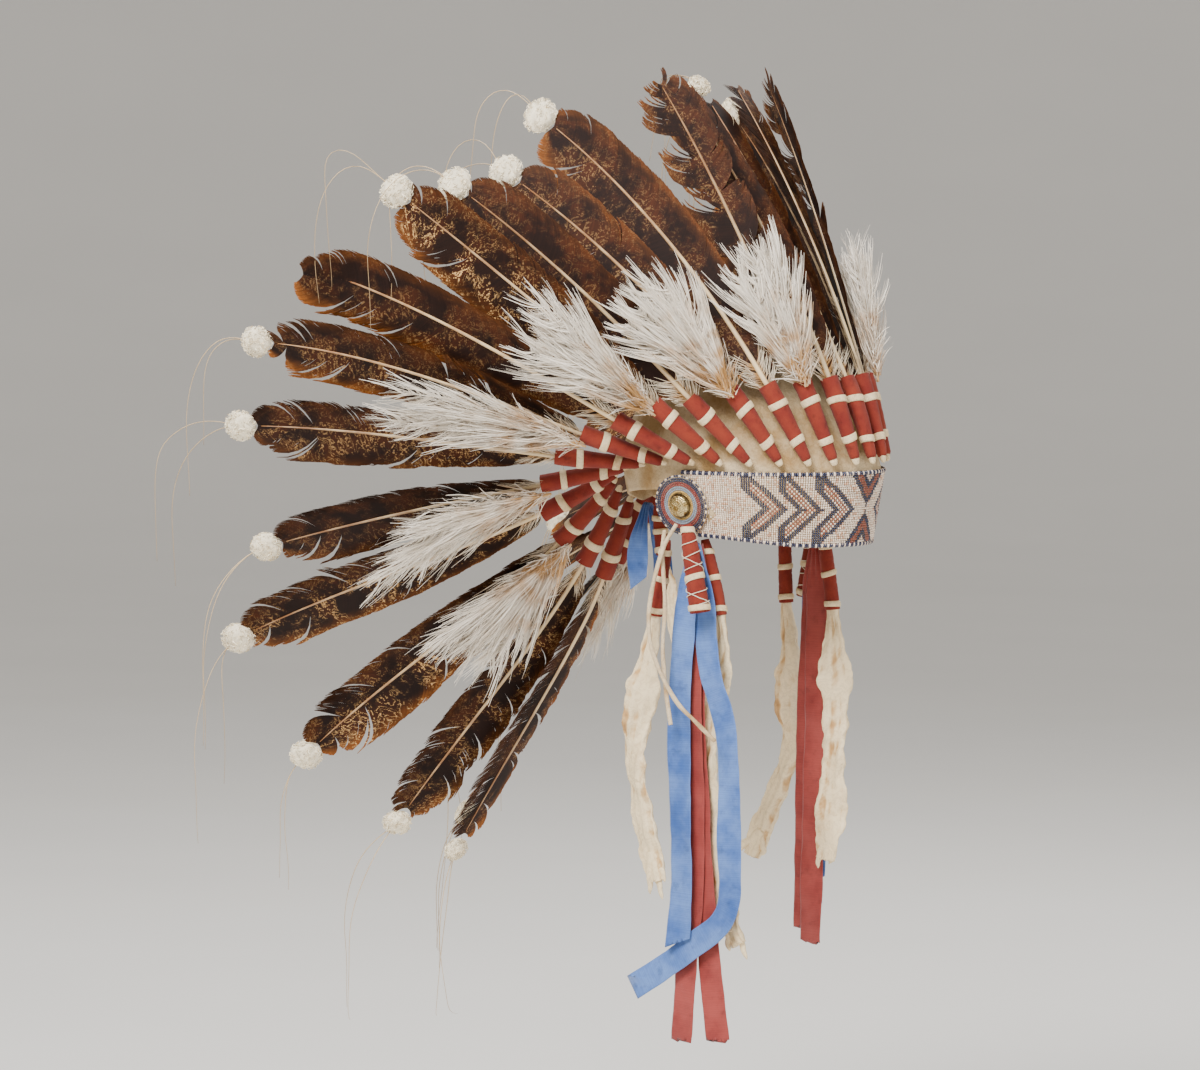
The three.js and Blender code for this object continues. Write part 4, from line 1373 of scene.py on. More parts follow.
    def _width(self, distance: Array, edge: int) -> Array:
        """The vane's half width on one edge."""
        share = (distance - self.VANE_START) / (self.end - self.VANE_START)
        return blend_rows(self.SPREAD, share)[..., 0] * (self.row.trailing if edge > 0 else self.row.leading)

    def _barb_ends(self, root: Array, edge: int) -> tuple[Array, Array]:
        """Where barbs end: forward of the fan line along the side, and round the blunt tip.

        Args:
            root: Where each barb leaves the shaft.
            edge: -1 for the leading side, 1 for the trailing side.

        Returns:
            The distance along and the distance across of each end.
        """
        wide = self._width(root + 14.0, edge)
        radius = float(self._width(np.array([self.end]), edge)[0])
        tip = self.end + 5.0
        gap = (tip - root) / (1.75 * radius)
        turn = np.interp(gap, [0.0, 1.0], [88.0, 8.0]) * DEG
        round_along = tip - radius + radius * np.sin(turn) ** 0.85
        round_across = radius * np.cos(turn) ** 0.75
        along = np.where(gap < 1.0, round_along, root + 0.84 * wide)
        return along, np.where(gap < 1.0, round_across, wide)

    def _vane(self, draft: Draft, edge: int) -> None:
        """Adds the barbs of one side, gathered in bunches that part here and there.

        Args:
            draft: Where they go.
            edge: -1 for the leading side, 1 for the trailing side.
        """
        rng, count, stations = self.rng, self.barbs, 6
        root = np.linspace(self.VANE_START, self.end - 1.0, count)
        bounds = [self.VANE_START]
        while bounds[-1] < self.end:
            bounds.append(bounds[-1] + rng.gamma(2.5, 7.0) + 4.0)
        bounds = np.array(bounds)
        bunch = np.searchsorted(bounds, root, side="right") - 1
        low, high = bounds[bunch], bounds[np.minimum(bunch + 1, len(bounds) - 1)]
        middle = 0.5 * (low + high)
        parted = (rng.random(len(bounds)) < self.frayed) * rng.uniform(0.15, 0.6, len(bounds))
        pinch = parted[bunch]
        lift = (rng.normal(0, 0.45, len(bounds)) + 1.6 * rng.normal(0, 1, len(bounds)) * (parted > 0.3))[bunch]
        end_along, end_across = self._barb_ends(root, edge)
        trim = 1.0 + rng.normal(0, 0.012, count) + rng.normal(0, 0.02, len(bounds))[bunch] - 0.35 * pinch * rng.random(count)
        if self.number == 2 and edge > 0:
            trim = trim - 0.55 * smooth(0.1, 0.7, np.sin(root * 0.13 + 0.8 * np.sin(root * 0.31))) * smooth(140, 170, root)
        end_across = end_across * trim
        t = np.linspace(0, 1, stations)[None, :]
        distance = root[:, None] + (end_along - root)[:, None] * t**1.2
        distance = distance + (middle - root)[:, None] * pinch[:, None] * t**1.5
        across = edge * end_across[:, None] * np.sin(t * 0.5 * math.pi) ** 0.92
        cup = -0.09 * end_across[:, None] * t**2 + lift[:, None] * t**2.2
        wave = 0.8 * ripple(root * 0.05, self.number + edge)[:, None] * t**2
        out = cup + wave + rng.normal(0, 0.10, (count, 1)) * t
        out = out + self.curl * smooth(self.end - 46.0, self.end + 4.0, distance) ** 1.6
        paths = self.place(distance, across, out)
        _, _, _, thick = self.frame(distance)
        direction = unit(np.gradient(paths, axis=1))
        side = unit(np.cross(thick, direction))
        tip = np.array([1.0, 1.02, 1.08, 1.08, 0.9, 0.3])
        half = 0.62 * (self.end - self.VANE_START) / count * 1.3
        tilt = 0.16 * edge
        sides = (side * math.cos(tilt) + thick * math.sin(tilt)) * (half * tip)[None, :, None]
        seeds = 0.55 * rng.random(count) + 0.45 * rng.random(len(bounds))[bunch]
        draft.strips(
            paths,
            sides,
            FeatherKit.VANE,
            along=(distance - self.VANE_START) / (self.end - self.VANE_START),
            across=edge * t,
            seed=seeds[:, None],
            tone=self.tone,
            mottle=self.mottle,
        )

    def _under_down(self, draft: Draft) -> None:
        """Adds loose pale barbs where the vane leaves the wrapping."""
        rng, count, stations = self.rng, 90, 5
        t = np.linspace(0, 1, stations)[None, :]
        root = rng.uniform(60.0, 84.0, count)[:, None]
        edge = rng.choice([-1.0, 1.0], count)[:, None]
        reach = rng.uniform(8.0, 19.0, count)[:, None]
        wander = np.cumsum(rng.normal(0, 0.55, (count, stations)), axis=1)
        distance = root + reach * t * rng.uniform(0.5, 1.2, (count, 1))
        across = edge * (1.0 + reach * 0.75 * t**0.8) + wander * t
        out = rng.uniform(-1.0, 4.5, (count, 1)) * t + np.cumsum(rng.normal(0, 0.4, (count, stations)), axis=1) * t
        paths = self.place(distance, across, out)
        direction = unit(np.gradient(paths, axis=1))
        _, _, _, thick = self.frame(distance)
        sides = unit(np.cross(thick, direction)) * (0.32 * (1 - 0.7 * t))[..., None]
        draft.strips(paths, sides, FeatherKit.DOWN, along=t, seed=rng.random((count, 1)))

    def _tuft(self, draft: Draft) -> None:
        """Adds the crinkled woolly ball at the tip."""
        rng, radius = self.rng, self.row.tuft
        around, rows = 32, 20
        turn = np.arange(around) * 2 * math.pi / around
        rise = np.linspace(0.05, math.pi - 0.05, rows)
        across = np.sin(rise)[:, None] * np.cos(turn)[None]
        out = np.sin(rise)[:, None] * np.sin(turn)[None]
        forward = -np.cos(rise)[:, None] + 0 * turn[None]
        lumps = ripple(across * 2.6 + forward * 1.3, self.number + 3.0, 4) + ripple(out * 2.6 - forward * 1.9, self.number + 7.0, 4)
        fine = ripple(across * 7.0 + out * 5.0, self.number + 1.0, 3) * ripple(forward * 8.0, 4.0 + self.number, 2)
        size = radius * (0.88 + 0.085 * lumps + 0.06 * fine)
        middle = self.length - 0.83 * radius
        points = self.place(middle + size * forward * 0.84, size * across, size * out * 0.58)
        # Painted light and shade: the wool's seed follows the lumps, so bulges are painted lighter and hollows darker.
        draft.loft(points, FeatherKit.TUFT, along=0.9, seed=(0.5 + 0.25 * lumps))
        self._curls(draft, middle, radius)

    def _curls(self, draft: Draft, middle: float, radius: float) -> None:
        """Adds short crimped locks all over the tuft."""
        rng, count, stations = self.rng, 260, 6
        normal = unit(rng.normal(0, 1, (count, 3)))[:, None, :]
        t = np.linspace(0, 1, stations)[None, :]
        sweep = unit(np.cross(normal, unit(rng.normal(0, 1, (count, 1, 3)))))
        curl = rng.uniform(2.0, 5.0, (count, 1)) * t
        phase = rng.uniform(0, 6.28, (count, 1))
        length = rng.uniform(2.5, 5.5, (count, 1))
        lift = radius * 0.84 + 1.6 * np.sin(t * math.pi * 0.75) + 0.5 * np.sin(curl * 2 + phase)
        local = normal * lift[..., None] + sweep * (length * t)[..., None]
        local = local + np.cross(normal, sweep) * (0.8 * np.sin(curl * 2.3 + phase) * t)[..., None]
        paths = self.place(middle + local[..., 0] * 0.84, local[..., 1], local[..., 2] * 0.58)
        direction = unit(np.gradient(paths, axis=1))
        sides = unit(np.cross(direction, unit(rng.normal(0, 1, (count, 1, 3))))) * (0.55 * (1 - 0.6 * t))[..., None]
        draft.strips(paths, sides, FeatherKit.TUFT, along=0.6 + 0.4 * t, seed=rng.random((count, 1)))

    def _horsehair(self, draft: Draft) -> None:
        """Adds the long strands that trail and droop from the tip."""
        rng, stations = self.rng, 26
        if not self.strands:
            return
        centre, along, wide, _ = self.frame(np.array([self.length - 8.0]))
        for _ in range(self.strands):
            length = rng.uniform(95.0, 185.0)
            t = np.linspace(0, 1, stations)
            heading = along[0] + rng.normal(0, 0.16, 3)
            droop = np.minimum(1.0, 1.35 * t**0.75)
            curl = 0.35 * ripple(t * 1.2, rng.uniform(0, 40)) [:, None] * wide[0]
            steps = unit(heading * (1 - droop)[:, None] + np.array([0.05, 0.0, -1.0]) * droop[:, None] + curl)
            line = centre[0] + np.concatenate([[np.zeros(3)], np.cumsum(steps[:-1] * length / (stations - 1), axis=0)])
            line = HAIR_ROOM.hold(line)
            first = unit(np.cross(steps, np.array([0.3, 0.9, 0.2])))
            second = np.cross(steps, first)
            thick = 0.42 * (1 - 0.6 * t)
            rings = tube_rings(line, first, second, thick, thick, 3)
            draft.loft(rings, FeatherKit.HAIR, along=t[:, None], seed=rng.random())


@dataclass(frozen=True)
class Room:
    """The box that trailing hairs stay inside, in millimetres."""

    low: tuple[float, float, float] = (-366.0, -264.0, -430.0)
    high: tuple[float, float, float] = (110.0, 264.0, 290.0)

    def hold(self, points: Array) -> Array:
        """Eases points that near a wall of the box back inside it."""
        low, high, ease = np.array(self.low), np.array(self.high), 14.0
        inside = np.where(points < low + ease, low + ease * np.exp((points - low - ease) / ease), points)
        return np.where(inside > high - ease, high - ease * np.exp((high - ease - inside) / ease), inside)


HAIR_ROOM = Room()


class FeatherKit:
    """The finishes that the feathers share, by slot."""

    CLOTH, HIDE, SHAFT, VANE, DOWN, TUFT, HAIR = range(7)

    def __init__(self) -> None:
        """Makes the finishes."""
        self.slots = [
            WoolFinish("red_trade_cloth", roughness=0.92, sheen=0.06).make(),
            HideFinish("band_hide", roughness=0.8, pale="e3cda4", dark="b98b50", stain=0.35, grain=0.8).make(),
            GradedFinish("shaft_quill", roughness=0.42, root="e2c79a", tip="8a5a30", turn=1.1, specular=0.5).make(),
            VaneFinish("tail_vane", roughness=0.68, specular=0.18).make(),
            GradedFinish("vane_down", roughness=0.9, root="a57c4c", tip="dccdb4", turn=0.7).make(),
            GradedFinish("tuft_wool", roughness=0.95, root="c9ab78", tip="f1e4c8", turn=0.5, sheen=0.3, speckle=0.2).make(),
            GradedFinish("horsehair", roughness=0.5, root="cbb08a", tip="a98b64", turn=1.0, specular=0.5).make(),
        ]


# --------------------------------------------------------------------------- plumes


@dataclass(frozen=True)
class PlumeRow:
    """A clump of down over one feather's base, sized in millimetres."""

    feather: int
    length: float
    width: float
    rise: float
    sag: float


PLUMES: tuple[PlumeRow, ...] = (
    PlumeRow(2, 100, 34, 14, 4),
    PlumeRow(4, 112, 36, 16, 8),
    PlumeRow(6, 122, 36, 16, 10),
    PlumeRow(8, 140, 34, 18, 12),
    PlumeRow(10, 132, 36, 18, 16),
    PlumeRow(12, 112, 38, 16, 6),
)


@dataclass
class Plume:
    """A clump of down plumes: bent shafts with long soft barbs gathered in locks.

    Attributes:
        row: Its place and size.
        side: RIGHT or LEFT.
        feathers: How many plumes make the clump.
        barbs: Barbs on each side of one shaft.
    """

    row: PlumeRow
    side: int
    feathers: int = 5
    barbs: int = 125

    ROOT = 60.0

    def build(self, finishes: Sequence[Material]) -> Object:
        """Builds the clump."""
        self.rng = np.random.default_rng(4000 + self.row.feather * 10 + self.side)
        draft = Draft()
        for index in range(self.feathers):
            spread = (index + 0.5) / self.feathers * 2 - 1
            self._one(draft, spread, self.rng.uniform(0.72, 1.06))
        self._fluff(draft)
        if self.side == LEFT:
            draft.mirror()
        tag = f"{self.row.feather:02d}_{'r' if self.side == RIGHT else 'l'}"
        piece = draft.build(f"down_{tag}", finishes)
        return dress(piece, "down", f"plume_{tag}")

    def _fluff(self, draft: Draft) -> None:
        """Adds loose curling down over the roots, where the clump is thickest."""
        rng, count, stations = self.rng, 320, 7
        share = rng.beta(1.3, 2.6, count)
        centre, along, wide, thick = FAN.frame(self.row.feather, self.ROOT + 0.8 * self.row.length * share)
        spread = rng.uniform(-1, 1, count) * self.row.width * 0.42 * smooth(-0.15, 0.4, share)
        base = centre + wide * spread[:, None] + thick * (rng.uniform(6.5, 11.0, count) + 5 * share)[:, None]
        lean = rng.normal(0, 0.75, count)
        heading = unit(along + wide * lean[:, None] + thick * rng.uniform(-0.1, 0.75, (count, 1)))
        t = np.linspace(0, 1, stations)[None, :]
        reach = rng.uniform(9.0, 23.0, (count, 1))
        bend = unit(rng.normal(0, 1, (count, 3)))
        sway = np.cross(bend, heading)[:, None] * (0.32 * reach * t**2)[..., None]
        crimp = bend[:, None] * (0.9 * np.sin(t * rng.uniform(3, 9, (count, 1)) + rng.uniform(0, 6.28, (count, 1))) * t)[..., None]
        points = base[:, None] + heading[:, None] * (reach * t)[..., None] + sway + crimp
        direction = unit(np.gradient(points, axis=1))
        sides = unit(np.cross(rng.normal(0, 1, (count, 1, 3)), direction)) * (0.4 * (1 - 0.7 * t**1.5))[..., None]
        tint = np.clip(0.15 + 0.8 * share[:, None] + 0.25 * t + rng.normal(0, 0.12, (count, 1)), 0, 1)
        draft.strips(points, sides, 1, along=tint, seed=rng.random((count, 1)))

    def _one(self, draft: Draft, spread: float, scale: float) -> None:
        """Adds one plume.

        Args:
            draft: Where it goes.
            spread: Its lean across the clump, -1 to 1.
            scale: Its length against the clump's.
        """
        rng, row = self.rng, self.row
        length = row.length * scale
        t = np.linspace(0, 1, 40)
        centre, along, wide, thick = FAN.frame(row.feather, self.ROOT + length * t)
        out = np.interp(t, [0, 0.5, 1], [9.0, row.rise * 0.85, row.rise + 2.0]) + rng.uniform(-1.5, 3.0) * t
        across = row.width * 0.62 * spread * smooth(0, 0.9, t) + rng.uniform(-3, 3) * t**2
        line = centre + thick * out[:, None] + wide * across[:, None]
        line[:, 2] -= row.sag * t**2 * scale
        path = Path(line[::3])
        stations = np.linspace(0, path.length, 20)
        spine, heading = path.at(stations), path.along(stations)
        first = unit(np.cross(heading, thick[0]))
        second = np.cross(heading, first)
        half = 0.75 * (1 - stations / path.length) ** 0.8 + 0.12
        draft.loft(tube_rings(spine, first, second, half, half, 5), 0, along=(stations / path.length)[:, None], seed=0.5)
        for edge in (-1.0, 1.0):
            self._barbs(draft, path, edge, thick[20], length)

    def _barbs(self, draft: Draft, path: Path, edge: float, face: Array, length: float) -> None:
        """Adds the soft barbs of one side, in locks that drift together at their ends."""
        rng, count, stations = self.rng, self.barbs, 7
        root = np.sort(rng.uniform(0.05, 0.985, count) ** 0.92) * path.length
        share = root / path.length
        lock = (root / rng.uniform(4.5, 6.5)).astype(int)
        lock_rng = rng.normal(0, 1, (lock.max() + 1, 6))[lock]
        t = np.linspace(0, 1, stations)[None, :]
        reach = (self.row.width * 0.55) * np.interp(share, [0, 0.12, 0.4, 0.75, 1], [0.7, 1.0, 1.0, 0.9, 0.6])
        reach = reach * rng.uniform(0.75, 1.15, count) * (1 + 0.16 * lock_rng[:, 0])
        lean = (1.75 - 0.55 * share + 0.25 * lock_rng[:, 1])[:, None]
        heading = path.along(root)
        base = path.at(root)
        side = unit(np.cross(heading, face)) * edge
        out = unit(np.cross(side, heading)) * edge
        tilt = (0.45 * lock_rng[:, 2] + rng.normal(0, 0.22, count))[:, None]
        sideways = side * np.cos(tilt) + out * np.sin(tilt)
        grow = reach[:, None] * t
        forward = grow * (0.55 + 0.75 * t) * lean
        drift = (0.22 * lock_rng[:, 3])[:, None] * grow * t
        crimp = 1.1 * np.sin(t * rng.uniform(4, 8, (count, 1)) + rng.uniform(0, 6.28, (count, 1))) * t
        points = base[:, None] + heading[:, None] * (forward + drift)[..., None]
        points = points + sideways[:, None] * (grow * (1 - 0.22 * t))[..., None]
        points = points + out[:, None] * (crimp + (0.18 * lock_rng[:, 4])[:, None] * grow * t)[..., None]
        points[..., 2] -= 0.06 * grow * t
        direction = unit(np.gradient(points, axis=1))
        flat = unit(out[:, None] + 0.7 * rng.normal(0, 1, (count, 1, 3)))
        sides = unit(np.cross(flat, direction)) * (0.46 * (1 - 0.72 * t**1.5))[..., None]
        along = np.clip(0.3 * t + 0.75 * share[:, None], 0, 1)
        draft.strips(points, sides, 1, along=along, seed=rng.random((count, 1)))


# --------------------------------------------------------------------------- hanging pieces


def hang(path: Path, stations: Array) -> tuple[Array, Array, Array, Array]:
    """Frames down a hanging line: centres, directions, across (near X) and through."""
    centre, along = path.at(stations), path.along(stations)
    axis = np.array([1.0, 0.0, 0.0])
    wide = unit(axis - along * along[:, :1])
    return centre, along, wide, np.cross(along, wide)


def outward(rows: Sequence[Sequence[float]], side: int) -> list[tuple[float, float, float]]:
    """Turns rows of X, distance outwards and Z into points on one side."""
    return [(r[0], side * r[1], r[2]) for r in rows]


class HangKit:
    """The finishes that the hanging pieces share, by slot."""

    CLOTH, HIDE, THREAD, SKIN = range(4)

    def __init__(self, cloth: Material, hide: Material) -> None:
        """Takes the shared cloth and hide, and makes the rest."""
        self.slots = [
            cloth,
            hide,
            GradedFinish("winding_thread", roughness=0.75, root="d8c8ac", tip="e6dac4", turn=1.0).make(),
            HideFinish(
                "dried_skin", roughness=0.55, pale="ecd6ac", dark="bb8a4b", grime_and_shade="7a4f27", stain=0.3,
                stain_size=24.0, wrinkle=0.45, grain=1.3, depth=0.3, specular=0.45, fold_shade=0.85,
            ).make(),
        ]


@dataclass
class HideDrop:
    """A drop of dried skin with a wrapped top, a crinkled body and pointed toes.

    Attributes:
        name: The piece's name.
        node: Its construction node.
        side: RIGHT or LEFT.
        points: Its line, as X, distance outwards and Z.
        toes: How far each toe spreads and how long it is.
        wrap_length: The length of the wrapped top.
    """

    name: str
    node: str
    side: int
    points: tuple[tuple[float, float, float], ...]
    toes: tuple[tuple[float, float], ...] = ((-9.0, 30.0), (1.0, 44.0), (9.0, 34.0))
    wrap_length: float = 56.0
    half_width: float = 11.5

    def build(self, kit: HangKit) -> Object:
        """Builds the drop."""
        self.seed = float(sum(map(ord, self.node)) % 97)
        self.rng = np.random.default_rng(int(self.seed))
        self.path = Path(outward(self.points, self.side))
        draft = Draft()
        self._top(draft)
        self._body(draft)
        piece = draft.build(self.name, kit.slots)
        LOG.info("%s: %d faces", self.name, len(piece.data.polygons))
        return dress(piece, "furry_hide", self.node)

    def _top(self, draft: Draft) -> None:
        """Adds the cloth-wrapped top with its hide rings."""
        wrap_sleeve(draft, self.path, 0.0, self.wrap_length, (3.0, 4.9, 5.4), self.rng)
        for at in (9.0, 0.52 * self.wrap_length, self.wrap_length - 4.0):
            hide_ring(draft, self.path, at, 2.1, (3.0, 4.9, 5.4), self.wrap_length, self.rng)

    def _body(self, draft: Draft) -> None:
        """Adds the crinkled skin below the wrapping, and its toes."""
        length, start, around = self.path.length, self.wrap_length - 6.0, 38
        stations = np.linspace(start, length - 12.0, 110)
        centre, along, wide, thick = hang(self.path, stations)
        below = stations - self.wrap_length
        half = 4.4 + (self.half_width - 4.4) * smooth(0, 42, below)
        half = half * (1 + 0.3 * ripple(stations * 0.03, self.seed)) * (1 - 0.25 * smooth(length - 60, length, stations))
        deep = 3.0 * (1 + 0.3 * ripple(stations * 0.035, self.seed + 3)) + 1.2 * smooth(20, 0, below)
        twist = 0.95 * ripple(stations * 0.014, self.seed + 9) * smooth(0, 60, below)
        first = wide * np.cos(twist)[:, None] + thick * np.sin(twist)[:, None]
        second = np.cross(along, first)
        turn = (np.arange(around) * 2 * math.pi / around)[None, :]
        place = stations[:, None]
        slant = 2.6 * np.cos(turn) + place * 0.012 + 0.5 * ripple(place * 0.03, self.seed + 8)
        fold = ripple(slant, self.seed + 1, 2) * (1 + 0.5 * ripple(place * 0.045, self.seed + 4))
        pucker = ripple(place * 0.11 + 1.1 * np.sin(turn + 0.02 * place), self.seed + 2, 3)
        fine = ripple(place * 0.35 + 2.0 * np.cos(turn), self.seed + 6, 2)
        rough = 1 + 0.13 * ripple(place * 0.07 + 1.5 * np.cos(turn), self.seed + 5, 3)
        across = half[:, None] * rough * np.cos(turn)
        through = deep[:, None] * np.sin(turn) * (0.85 + 0.3 * np.cos(turn) ** 2)
        through = through + (1.9 * fold + 0.7 * pucker + 0.16 * fine) * smooth(0, 20, below)[:, None]
        rings = centre[:, None] + across[..., None] * first[:, None] + through[..., None] * second[:, None]
        # The value 'fold' gives how deep each point lies in a crinkle, which the skin finish turns into painted shade.
        draft.loft(rings, HangKit.SKIN, fold=(fold + 0.5 * pucker) * np.sign(np.sin(turn) + 0.01))
        for spread, reach in self.toes:
            self._toe(draft, spread, reach)

    def _toe(self, draft: Draft, spread: float, reach: float) -> None:
        """Adds one pointed toe below the body."""
        rng, around = self.rng, 12
        t = np.linspace(0, 1, 24)
        centre, along, wide, thick = hang(self.path, np.array([self.path.length - 34.0]))
        kink = 2.2 * ripple(t * 1.6, spread + self.seed)
        drop = (34.0 + reach - 12.0) * t
        line = centre + along * drop[:, None] + wide * (spread * smooth(0, 0.85, t) + kink)[:, None]
        line = line + thick * (1.6 * ripple(t * 1.3, self.seed - spread))[:, None]
        size = np.interp(t, [0, 0.35, 0.7, 0.92, 1], [4.2, 3.6, 2.7, 1.6, 0.25]) * (1 + 0.16 * ripple(t * 4, spread))
        turn = np.arange(around) * 2 * math.pi / around
        crease = 1 + 0.14 * ripple(3 * np.cos(turn)[None] + 5 * t[:, None], self.seed + spread, 3)
        heading = unit(np.gradient(line, axis=0))
        first = unit(np.cross(np.array([0.2, 1.0, 0.1]), heading))
        second = np.cross(heading, first)
        flat = rng.uniform(0.55, 0.75)
        draft.loft(tube_rings(line, first, second, size[:, None] * crease, size[:, None] * crease * flat, around), HangKit.SKIN)


def sleeve_radius(at: Array, start: float, length: float, sizes: tuple[float, float, float]) -> Array:
    """The radius of a wrapped sleeve at distances down it."""
    return np.interp(np.asarray(at, float), [start, start + 0.25 * length, start + length], sizes)


def wrap_sleeve(draft: Draft, path: Path, start: float, length: float, sizes: tuple[float, float, float], rng: np.random.Generator) -> None:
    """Adds a tube of cloth wound round a hanging line.

    Args:
        draft: Where it goes.
        path: The line.
        start: Where the tube starts.
        length: Its length.
        sizes: Its radius at the top, a quarter down and at the end.
        rng: The piece's own chance.
    """
    around = 32
    turn = (np.arange(around) * 2 * math.pi / around)[None, :]
    stations = np.concatenate([np.linspace(start, start + length, 50), [start + length + 0.3, start + length - 2.0]])
    shrink = np.concatenate([np.zeros(50), [0.7, 1.3]])
    centre, _, wide, thick = hang(path, stations)
    radius = sleeve_radius(stations, start, length, sizes) - shrink
    wind = ((turn * 1.0 + stations[:, None] * 0.42 + rng.uniform(0, 6)) % (2 * math.pi)) / (2 * math.pi)
    step = 0.35 * smooth(0, 0.15, wind) * smooth(1.0, 0.95, wind)
    crease = 0.14 * ripple(stations[:, None] * 0.3 + np.sin(turn), rng.uniform(0, 20))
    whole = radius[:, None] - 0.3 + step + crease
    draft.loft(tube_rings(centre, wide, thick, whole, whole, around), HangKit.CLOTH, along=stations[:, None], across=turn * 5.0)


def hide_ring(
    draft: Draft, path: Path, at: float, half: float, sizes: tuple[float, float, float], length: float, rng: np.random.Generator
) -> None:
    """Adds a tied ring of pale hide round a wrapped sleeve."""
    around = 32
    turn = np.arange(around) * 2 * math.pi / around
    tilt = rng.uniform(0.3, 1.0) * np.cos(turn - rng.uniform(0, 6.28))
    profile = [(-1.0, 0.0), (-0.95, 0.6), (-0.5, 0.85), (0.5, 0.85), (0.95, 0.6), (1.0, 0.0)]
    rings = []
    for share, lift in profile:
        place = at + share * half + tilt
        centre, _, wide, thick = hang(path, place)
        radius = sleeve_radius(place, 0.0, length, sizes) + lift
        rings.append(centre + wide * (radius * np.cos(turn))[:, None] + thick * (radius * np.sin(turn))[:, None])
    draft.loft(np.array(rings), HangKit.HIDE, capped=False)


@dataclass
class Hanger:
    """A red wrapped tube below one rosette, wound with thread, that carries the ribbons."""

    side: int
    top: tuple[float, float, float]
    end: tuple[float, float, float]
    sizes: tuple[float, float, float] = (4.0, 6.0, 7.6)

    def build(self, kit: HangKit) -> Object:
        """Builds the tube, its rings and the winding."""
        rng = np.random.default_rng(71 + self.side)
        path = Path(outward([self.top, self.end], self.side))
        draft = Draft()
        wrap_sleeve(draft, path, 0.0, path.length, self.sizes, rng)
        for at in (3.5, 0.6 * path.length, path.length - 3.5):
            hide_ring(draft, path, at, 2.2, self.sizes, path.length, rng)
        self._winding(draft, path, rng)
        tag = "r" if self.side == RIGHT else "l"
        return dress(draft.build(f"wrapped_tube_{tag}", kit.slots), "red_wool", f"wrapped_hanger_{tag}")

    def _winding(self, draft: Draft, path: Path, rng: np.random.Generator) -> None:
        """Winds a thin thread round the tube, crossing itself here and there."""
        for direction, turns in ((1, 7.0), (-1, 2.5)):
            t = np.linspace(0.06, 0.95, 260)
            at = path.length * (t + 0.012 * ripple(t * 9, 3.0 + direction))
            angle = direction * turns * 2 * math.pi * t + rng.uniform(0, 6)
            centre, _, wide, thick = hang(path, at)
            radius = sleeve_radius(at, 0.0, path.length, self.sizes) + 0.55
            line = centre + (radius * np.cos(angle))[:, None] * wide + (radius * np.sin(angle))[:, None] * thick
            heading = unit(np.gradient(line, axis=0))
            first = unit(np.cross(heading, np.array([0.1, 0.2, 1.0])))
            rings = tube_rings(line, first, np.cross(heading, first), np.full(260, 0.34), np.full(260, 0.34), 5)
            draft.loft(rings, HangKit.THREAD, along=0.5, seed=0.5)


class EndCut(Enum):
    """How the end of a ribbon is finished."""

    SWALLOWTAIL = "swallowtail"
    SLANTED = "slanted"
    TORN = "torn"


